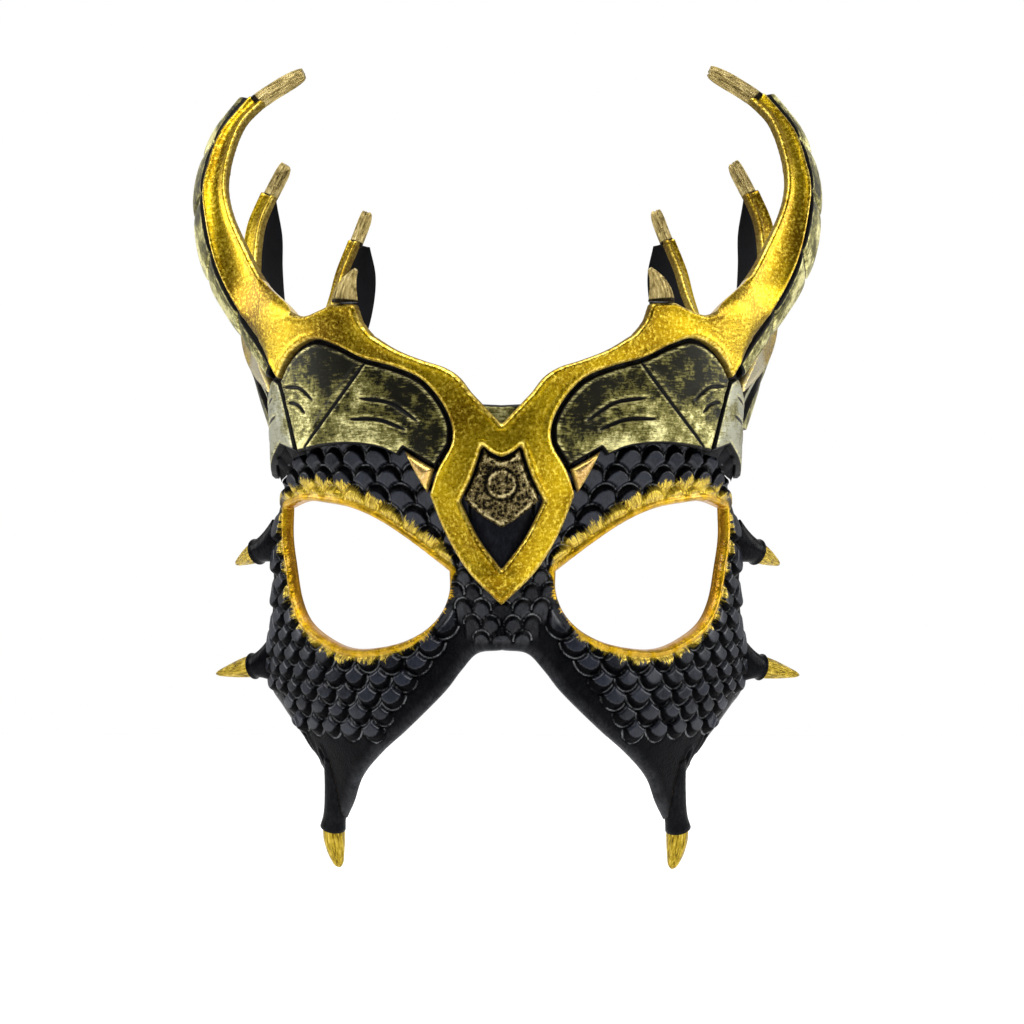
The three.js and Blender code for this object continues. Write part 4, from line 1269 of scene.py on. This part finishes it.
def dark_bronze():
    """Dark bronze, rubbed bright on the ring, the border and the high ground."""
    material, tree, shader = finish("Dark stippled bronze")
    where = own_place(tree)
    dots = noise(tree, where, 2800.0, 3.0, 0.6)
    high = map_value(tree, "high")
    tone = math_node(tree, "MULTIPLY_ADD", high, 0.5, dots)
    base = mixed(tree, ramp(tree, tone, 0.58, 0.8), colour(0.003, 0.0026, 0.0016),
                 colour(0.14, 0.105, 0.04))
    base = mixed(tree, ramp(tree, tone, 0.8, 1.02), base, colour(0.62, 0.52, 0.26))
    wire(tree, shader, Base_Color=base, Metallic=0.8, Roughness=ramp(tree, dots, 0.3, 0.7, 0.28, 0.5),
         Normal=bumped(tree, dots, 0.5, 0.0004), Specular_IOR_Level=0.12)
    return material


shield_lift = SHELL_THICKNESS + 2 * SEAM
shield = panel("medallion_leather", doubled(SHIELD_EDGE), [], on_form, shield_lift,
               shield_lift + PLATE_THICKNESS, medallion_relief, spacing=STIPPLE_SPACING)
paint_top(shield, "high", shield_maps["high"], 0)
seat(shield, "medallion", "dark_bronze_leather", dark_bronze(), FLESH_SIDE)

# Brow plates, brow claws and temple plates
# Bronze painted leather panels that fill the crown below the frame. Slits and a slanting line are cut
# into them and blackened, and a small pale claw closes the inner corner of each brow.

# Rows: turn, rise
BROW_PLATE = [
    [(10.2, 55.8), (10.2, 60.6), (12.1, 66.4), (16, 72.5), (21.2, 76.1), (28.6, 79.4), (33.4, 83),
     (38, 85.2), (42.6, 83.6), (46.9, 79.8), (49.9, 75.4)],
    [(49.9, 75.4), (47.6, 66), (44.2, 54.6)],
    [(44.2, 54.6), (37.6, 56), (30.8, 56.3), (24.5, 55), (20.8, 52.8)],
    [(20.8, 52.8), (19.6, 55)],
    [(19.6, 55), (12.9, 49.7)],
    [(12.9, 49.7), (10.2, 55.8)],
]
BROW_LINES = [
    [(27.1, 79.4), (34.9, 66.8), (42.9, 54.6)],
    [(28.8, 68.8), (22.2, 67.1), (16.5, 62)],
    [(31, 63.1), (24.7, 62.7), (19.1, 59.8)],
    [(48.2, 73.5), (43.7, 72.7), (40.1, 69)],
    [(47.2, 68.9), (44.5, 68.1), (42.1, 65.5)],
]
BROW_CLAW = [
    [(19.4, 53.8), (13.3, 48.9)],
    [(13.3, 48.9), (14.7, 42.6)],
    [(14.7, 42.6), (17, 47.5), (19.4, 53.8)],
]
TEMPLE_PLATE = [
    [(50.5, 75), (53.4, 76.4), (56.5, 74), (60, 71.8), (66, 74.6), (71.5, 78), (76.5, 81)],
    [(76.5, 81), (77, 66), (70, 56), (62.5, 47.5)],
    [(62.5, 47.5), (57.5, 51.5), (51.5, 57)],
    [(51.5, 57), (44.8, 54.8)],
    [(44.8, 54.8), (48.2, 66), (50.5, 75)],
]
TEMPLE_LINES = [
    [(54, 71), (60, 68.5), (65, 64)],
    [(53, 65.5), (58.5, 63), (62.5, 58.5)],
    [(67, 76), (69.5, 68), (69, 60)],
]
# A tooled line: depth and half width, then height, place and spread of the swelling beside it
LINE_GROOVE = (1.0, 0.7)
LINE_SWELL = (0.2, 1.3, 0.7)
# How high plates and claws are crowned, and over what width
PLATE_CROWN = (0.7, 5)
CLAW_CROWN = (1.5, 1.6)


def groove(away, depth, half):
    """A V shaped cut."""
    return depth * np.clip(1 - away / half, 0, 1)


def crowned(away, height, width):
    """Rises from an edge to its full height."""
    return height * (1 - np.exp(-away / width))


def plate_relief(spots, edge, line):
    """A crowned plate with V shaped cuts along its lines."""
    return crowned(edge, *PLATE_CROWN) - groove(line, *LINE_GROOVE) + bead_along(line, *LINE_SWELL)


def claw_relief(spots, edge, line):
    """Domed like a nail."""
    return crowned(edge, *CLAW_CROWN)


COPPER_GOLD = gold_paint("Copper gold paint", colour(0.36, 0.2, 0.045), colour(0.7, 0.46, 0.15),
                         colour(0.9, 0.68, 0.32))
LINING_SPACING = 3.0
LINING_GROWTH = 1.1
LINING_RAISE = 1.5
LINING_LIFTS = (-0.8, 0.2)
# How far a lining is sunk where it runs out past its plate: over the shell below, and behind the root of
# the horn above
LINING_SINK = {"shell": 2.2, "root": 1.2}
SINK_REACH = (0.8, 3.0)
SINK_TURNS = (49, 52)
SHELL_TOP = 60
TEMPLE_LINING = [
    [(43.6, 54), (46.6, 66), (49, 75.5), (52.5, 82), (56, 86), (61, 85), (66, 84.5), (72, 86), (83, 86)],
    [(83, 86), (83, 72), (80, 67), (70.3, 56), (62.5, 46.5)],
    [(62.5, 46.5), (56.6, 48.8), (50.8, 52.4), (43.6, 54)],
]


def on_lining(pattern, lift):
    """Moulds the temple lining just below the plates of the crown."""
    plate = ring(TEMPLE_PLATE)
    past = np.where(inside(pattern, plate), 0, nearest(pattern, plate)[0])
    depth = np.where(pattern[:, 1] < SHELL_TOP, LINING_SINK["shell"], LINING_SINK["root"])
    side = eased(pattern[:, 0] / ARC, *SINK_TURNS)
    return on_crown(pattern, lift - depth * eased(past, *SINK_REACH) * side)


def enlarged(runs):
    """Runs a little larger than a plate's own, and higher."""
    middle = np.mean([spot for run in runs for spot in run], axis=0)
    shift = (0, LINING_RAISE)
    return [[tuple(middle + (np.array(spot) - middle) * LINING_GROWTH + shift) for spot in run]
            for run in runs]


def lined(plate, lining):
    """Glues a thin black lining behind a plate, wide enough to close the seams round it."""
    lining.data.polygons.foreach_set("material_index", np.ones(len(lining.data.polygons), np.int32))
    for piece in (plate, lining):
        painted(piece, BRONZE_PAINT, FLESH_SIDE)
    united(plate, [lining])


TEMPLE_SHEEN = 0.8
# Map value all over, added towards the lower edge and taken off at the inner end
BROW_GRADIENT = {"least": 0.1, "low": 0.58, "inner": 0.5, "rises": (80, 57), "turns": (25, 15)}


def temple_sheen(spots):
    """The sides are painted pale silver all over, a painted reflection of the bright studio beside them."""
    return np.full(len(spots), TEMPLE_SHEEN)


def brow_gradient(spots):
    """Lighter towards the lower edge, darker towards the top and at the inner end."""
    low = eased(spots[:, 1], *BROW_GRADIENT["rises"])
    inner = eased(spots[:, 0], *(turn * ARC for turn in BROW_GRADIENT["turns"]))
    return BROW_GRADIENT["least"] + BROW_GRADIENT["low"] * low - BROW_GRADIENT["inner"] * inner


brow = panel("brow_plate_right_leather", BROW_PLATE, [], on_crown, 0, PLATE_THICKNESS, plate_relief,
             BROW_LINES, wear_and_sheen=brow_gradient)
lined(brow, panel("lining", enlarged(BROW_PLATE), [], on_crown, *LINING_LIFTS, spacing=LINING_SPACING))
seat_pair(brow, "brow_plate", "bronze_leather", BRONZE_PAINT, FLESH_SIDE)
claw = panel("brow_claw_right_leather", BROW_CLAW, [], on_crown, 0, PLATE_THICKNESS, claw_relief)
seat_pair(claw, "brow_claw", "pale_gold_leather", COPPER_GOLD, FLESH_SIDE)
temple = panel("temple_plate_right_leather", TEMPLE_PLATE, [], on_crown, 0, PLATE_THICKNESS, plate_relief,
               TEMPLE_LINES, wear_and_sheen=temple_sheen)
lined(temple, panel("lining", TEMPLE_LINING, [], on_lining, *LINING_LIFTS, spacing=LINING_SPACING))
seat_pair(temple, "temple_plate", "bronze_leather", BRONZE_PAINT, FLESH_SIDE)

# Horn flanks and wings
# The outer faces of the three horns on each side: moulded leather in bronze paint, cut across into
# segments, beside narrow gold faces. The second and third horns sweep back like wings.

HORN_THICKNESS = 2.4
FLANK_SETBACK = 2.1
HORN_BOW = 1.8
WING_BOW = 1.5
SIDE_WAY = unit((1, 0.1, 0.1))
REAR_WAY = unit((0.8, 0.7, 0))
# Columns: x, y, z
HORN_BACK = [(69.2, 43.5, 77), (76.2, 53.4, 85.5), (85, 61.5, 96.5), (93, 66, 108), (97, 69, 118.5),
             (98.6, 71, 131), (97.6, 70.6, 142), (92, 68, 155), (82.8, 64.4, 165.5)]
MID_RIDGE = [(71.5, 47, 73), (79.5, 64, 80), (86, 82, 89), (90.3, 97, 99), (92, 106, 110), (92.7, 110, 120),
             (92.5, 112, 129), (91, 113, 138), (86.5, 113.5, 149)]
MID_INNER = [(71.5, 45, 75.5), (76.6, 55.8, 84.5), (82, 71, 96), (84.5, 89, 104.5), (85.6, 99, 113),
             (86.4, 104, 121), (86.4, 107, 129), (85.2, 109, 137.5), (81.3, 111.3, 147)]
MID_FRONT = [(74, 70.6, 64), (80.6, 71.5, 79.5)] + MID_RIDGE[2:]
MID_BACK = [(76.8, 88.5, 64), (79.6, 98, 72), (81, 115.5, 81), (80.5, 126, 90.5), (81.5, 131, 102),
            (83, 131, 114), (83.3, 129.5, 125), (82.8, 126.5, 136), (84.3, 120.5, 147)]
BACK_RIDGE = [(77.8, 97.8, 66), (79.4, 119, 74), (79.5, 133, 83), (76.5, 147, 94), (72.5, 157, 106),
              (69.5, 162, 118), (67.2, 165, 129), (62.5, 166, 142)]
BACK_INNER = [(78.5, 94.8, 68.5), (80.2, 113, 77.5), (79.5, 126, 87), (75, 140, 98), (70, 150, 108.5),
              (66, 156.5, 119), (63.4, 160.5, 129), (58.5, 163.2, 140.8)]
BACK_EDGE = [(75.5, 126, 64), (73, 141, 72), (69, 153, 81), (63.5, 164, 92), (58, 171, 104),
             (55, 174.5, 117), (54, 174.5, 129), (56.5, 172.8, 139.5)]
# Shares of the length where a flank is cut across
SEGMENT_CUTS = (0.22, 0.44, 0.64, 0.82)
CUT_ARCH = 0.035
# Depth and half width of the cuts across and of the slits along
CUT_GROOVE = (1.0, 0.9)
SLIT_GROOVE = (0.8, 0.7)
# Shares of the width where the slits lie, their bend, and half their length as a share of the segment's
SLITS = {"at": (0.42, 0.64), "bend": 0.06, "half": 0.27}
SLIT_LINE = 0.12
SEGMENT_CROWN = (0.7, 2.2)
FLANK_DROP = 0.4
FACE_BEAD = (0.45, 1.0, 0.6)
FLANK_SHEEN = {"edge": 0.15, "middle": 0.6}
# Shares of a wing's length over which the painted pale reflection at its root ends
WING_ROOT = (0.18, 0.36)
FLANK_GRID = {"columns": 48, "rows": 200}


def flank_relief(along, share, length, span):
    """Segments with arched cuts between them, and two slits along each segment."""
    arched = along + CUT_ARCH * (1 - (2 * share - 1) ** 2)
    cuts = np.min([np.abs(arched - place) * length for place in SEGMENT_CUTS], axis=0)
    bounds = (0,) + SEGMENT_CUTS + (1,)
    slit = np.full(cuts.shape, FAR)
    for low, high in zip(bounds, bounds[1:]):
        middle, half = (low + high) / 2, (high - low) * length * SLITS["half"]
        for at in SLITS["at"]:
            away = np.maximum(np.abs(arched - middle) * length - half, 0)
            bend = at + SLITS["bend"] * np.sin((arched - low) / (high - low) * np.pi)
            slit = np.minimum(slit, np.hypot((share - bend) * span, away))
    line = np.minimum(cuts, slit + SLIT_LINE)
    cut_away = groove(cuts, *CUT_GROOVE) + groove(slit, *SLIT_GROOVE)
    return crowned(cuts, *SEGMENT_CROWN) - cut_away - FLANK_DROP, line


def face_relief(along, share, length, span):
    """A shallow channel between the beaded edges of a narrow gold face."""
    beads = bead_along(share * span, *FACE_BEAD) + bead_along((1 - share) * span, *FACE_BEAD)
    return beads + 0 * along, np.full(np.broadcast(along, share).shape, FAR)


def flank_sheen(along, share):
    """A painted highlight along the middle of the flank."""
    return FLANK_SHEEN["edge"] + FLANK_SHEEN["middle"] * np.sin(np.pi * share) + 0 * along


def wing_sheen(along, share):
    """Painted pale where a wing leaves the temple, a painted reflection of the bright background."""
    return 1 - eased(along, *WING_ROOT) + 0 * share


# The black lining behind the slit between a flank and the gold face before it, a dark sheet that stands in
# for the shade in the slit
SLIT_SHADE_LINING = {"thickness": 0.8, "setback": 0.5, "reach": FLANK_SETBACK + 1.2, "sunk": 1.4, "columns": 6}
FLANKS = {
    "horn_flank": {"front": HORN_RIDGE, "back": HORN_BACK, "outside": SIDE_WAY, "bow": HORN_BOW},
    "mid_flank": {"front": MID_FRONT, "back": MID_BACK, "outside": SIDE_WAY, "bow": WING_BOW},
    "back_flank": {"front": BACK_RIDGE, "back": BACK_EDGE, "outside": REAR_WAY, "bow": WING_BOW},
}
for name, cut in FLANKS.items():
    flank = strip(f"{name}_right_leather", thickness=HORN_THICKNESS, setback=FLANK_SETBACK,
                  relief=flank_relief, wear_and_sheen=flank_sheen, **FLANK_GRID, **cut)
    lined(flank, strip("lining", cut["front"], cut["back"], outside=cut["outside"], **SLIT_SHADE_LINING))
    seat_pair(flank, name, "bronze_leather", BRONZE_PAINT, FLESH_SIDE)

WINGS = {"mid_horn": (MID_INNER, MID_RIDGE), "back_horn": (BACK_INNER, BACK_RIDGE)}
for name, (inner, ridge) in WINGS.items():
    wing = strip(f"{name}_right_leather", inner, ridge, HORN_THICKNESS, FRONT_WAY, relief=face_relief,
                 wear_and_sheen=wing_sheen)
    seat_pair(wing, name, "gold_leather", GOLD_PAINT, FLESH_SIDE)

# Pale tips
# Cut ends of rolled leather in pale gold, set on the spurs and on the ends of the horns. The knife
# left lengthwise striations and ragged ends.

# Columns: share of the length, width, thickness
SPUR_TIP = [(0, 7, 3.2), (0.5, 5, 3), (1, 1.4, 1.4)]
HORN_TIP = [(0, 5.4, 4.4), (0.25, 5.4, 4.4), (0.9, 4.6, 3.2), (1, 4, 2.6)]
# Columns: height, count round the tip, twist
STRIATED_WAVES = [(1, 7, 2), (0.7, 13, -3), (0.5, 23, 0)]
STRIATION = {"depth": 0.07, "root": 0.6, "growth": 0.6}
RAIL_STEPS = 200
SPUR_POINTS = np.array([(29.8 * ARC, 95.6 + SEAM), (26 * ARC, 104)])
HORN_TIPS = {
    "horn_tip": (HORN_INNER, HORN_RIDGE, (61.9, 58, 173.5)),
    "mid_tip": (MID_INNER, MID_RIDGE, (77, 113.5, 158.8)),
    "back_tip": (BACK_INNER, BACK_RIDGE, (54.8, 167, 153.2)),
}


def striated(angle, share):
    """Knife striations that deepen towards the ragged end."""
    cuts = STRIATION["depth"] * knife_cuts(angle, share, STRIATED_WAVES)
    return cuts * (STRIATION["root"] + STRIATION["growth"] * share)


PALE_GOLD = carved_paint("Pale gold paint", colour(0.08, 0.055, 0.014), colour(0.5, 0.38, 0.14),
                         colour(0.9, 0.76, 0.38))
TIP_SIDES = 72
TIP_TUCK = 2.2
LONGEST_TEAR = 2.2
torn = np.random.default_rng(3).uniform(0, LONGEST_TEAR, TIP_SIDES)
torn = (torn + np.roll(torn, 1) + np.roll(torn, 2)) / 3
spur_base, spur_end = on_crown(SPUR_POINTS, np.full(2, FRAME_THICKNESS / 2))
spur_base = spur_base - (0, 0, SEAM)
spur = taper("spur_tip_right_leather", spur_base, (0, 0, 1), spur_end, SPUR_TIP, sides=TIP_SIDES,
             ripple=striated, buried=SEAM)
seat_pair(spur, "spur_tip", "pale_gold_leather", PALE_GOLD)
for name, (inner, ridge, tip) in HORN_TIPS.items():
    inner, ridge = smooth_run(inner, count=RAIL_STEPS), smooth_run(ridge, count=RAIL_STEPS)
    way = unit(unit(inner[-1] - inner[-2]) + unit(ridge[-1] - ridge[-2]))
    facing = unit(np.cross(way, ridge[-1] - inner[-1]))
    facing = facing if facing @ FRONT_WAY > 0 else -facing
    start = (inner[-1] + ridge[-1]) / 2 + way * 2 * SEAM - facing * HORN_THICKNESS
    way = way + unit(np.array(tip) - start)
    cut_end = taper(f"{name}_right_leather", start - unit(way) * TIP_TUCK, way, tip, HORN_TIP, facing,
                    sides=TIP_SIDES, ripple=striated, fray=torn, buried=TIP_TUCK / 2)
    seat_pair(cut_end, name, "pale_gold_leather", PALE_GOLD)

# Floor, light and camera
# A pale floor under the mask that glows faintly as painted light from below, soft white studio light from
# all round with a large lamp above, and a camera at the height of the brows.

FLOOR_RISE = -0.16
FLOOR_HALF = 0.9
floor_corners = np.array([(x, y, 0) for x, y in ((-1, -1), (1, -1), (1, 1), (-1, 1))]) * FLOOR_HALF
floor = place_mesh("floor", (floor_corners + (0, 0, FLOOR_RISE)) / MM, [(0, 1, 2, 3)])
paper, paper_tree, paper_shader = finish("Pale paper")
paper_where = own_place(paper_tree)
paper_cloud = noise(paper_tree, paper_where, 6.0, 3.0)
paper_white = mixed(paper_tree, paper_cloud, colour(0.9, 0.9, 0.9), colour(0.94, 0.94, 0.95))
# The paper glows a little though it is no lamp: painted light that keeps the floor white and lights the
# mask from below
wire(paper_tree, paper_shader, Roughness=0.9, Base_Color=paper_white, Emission_Color=paper_white,
     Emission_Strength=0.35)
floor.data.materials.append(paper)

world = bpy.data.worlds.new("Studio")
bpy.context.scene.world = world
world.use_nodes = True
sky = world.node_tree
way_out = node(sky, "ShaderNodeTexCoord").outputs["Generated"]
way_seen = node(sky, "ShaderNodeSeparateXYZ", {0: way_out}).outputs
studio = ramp(sky, way_seen["Y"], -0.8, 0.7, 0.16, 0.8)
studio = times(sky, studio, ramp(sky, way_seen["Z"], -0.5, 0.9, 0.4, 1.1))
seen = node(sky, "ShaderNodeLightPath").outputs["Is Camera Ray"]
level = mixed(sky, seen, studio, colour(1, 1, 1))
sky.links.new(level, sky.nodes["Background"].inputs["Color"])

# Columns: name, place, size, power
LAMPS = [
    ("top", (0.0, -0.1, 0.95), 0.6, 5.5),
    ("key", (-0.3, -0.62, 0.85), 0.5, 5.2),
    ("fill", (0.95, -0.38, 0.2), 0.45, 2.2),
    ("side_left", (-0.9, 0.15, 0.25), 0.4, 3.0),
    ("side_right", (0.9, 0.15, 0.25), 0.4, 3.0),
    ("back", (0.0, 0.9, 0.6), 0.9, 1.8),
]
LAMP_AIM = Vector((0, 0.06, 0.05))
for name, place, size, power in LAMPS:
    lamp_data = bpy.data.lights.new(name, "AREA")
    lamp_data.size = size
    lamp_data.energy = power
    lamp = bpy.data.objects.new(name, lamp_data)
    lamp.location = place
    lamp.rotation_euler = (LAMP_AIM - lamp.location).to_track_quat("-Z", "Y").to_euler()
    bpy.context.scene.collection.objects.link(lamp)

SENSOR_WIDTH = 36
FRAME_PIXELS = 1024
FOCAL_PIXELS = 1480
AXIS_PIXEL = 502
CAMERA_DISTANCE = 0.4
CAMERA_RISE = 0.0373
CAMERA_YAW = math.radians(1.2)
camera_data = bpy.data.cameras.new("camera")
camera_data.sensor_width = SENSOR_WIDTH
camera_data.lens = SENSOR_WIDTH * FOCAL_PIXELS / FRAME_PIXELS
camera_data.shift_x = (FRAME_PIXELS / 2 - AXIS_PIXEL) / FRAME_PIXELS
camera_data.clip_start = 0.01
camera = bpy.data.objects.new("camera", camera_data)
camera_side = CAMERA_DISTANCE * math.sin(CAMERA_YAW)
camera_front = CAMERA_DISTANCE * math.cos(CAMERA_YAW)
camera.location = (camera_side, -camera_front, CAMERA_RISE)
camera.rotation_euler = (math.radians(90), 0, CAMERA_YAW)
bpy.context.scene.collection.objects.link(camera)
bpy.context.scene.camera = camera
bpy.context.scene.view_settings.view_transform = "Standard"
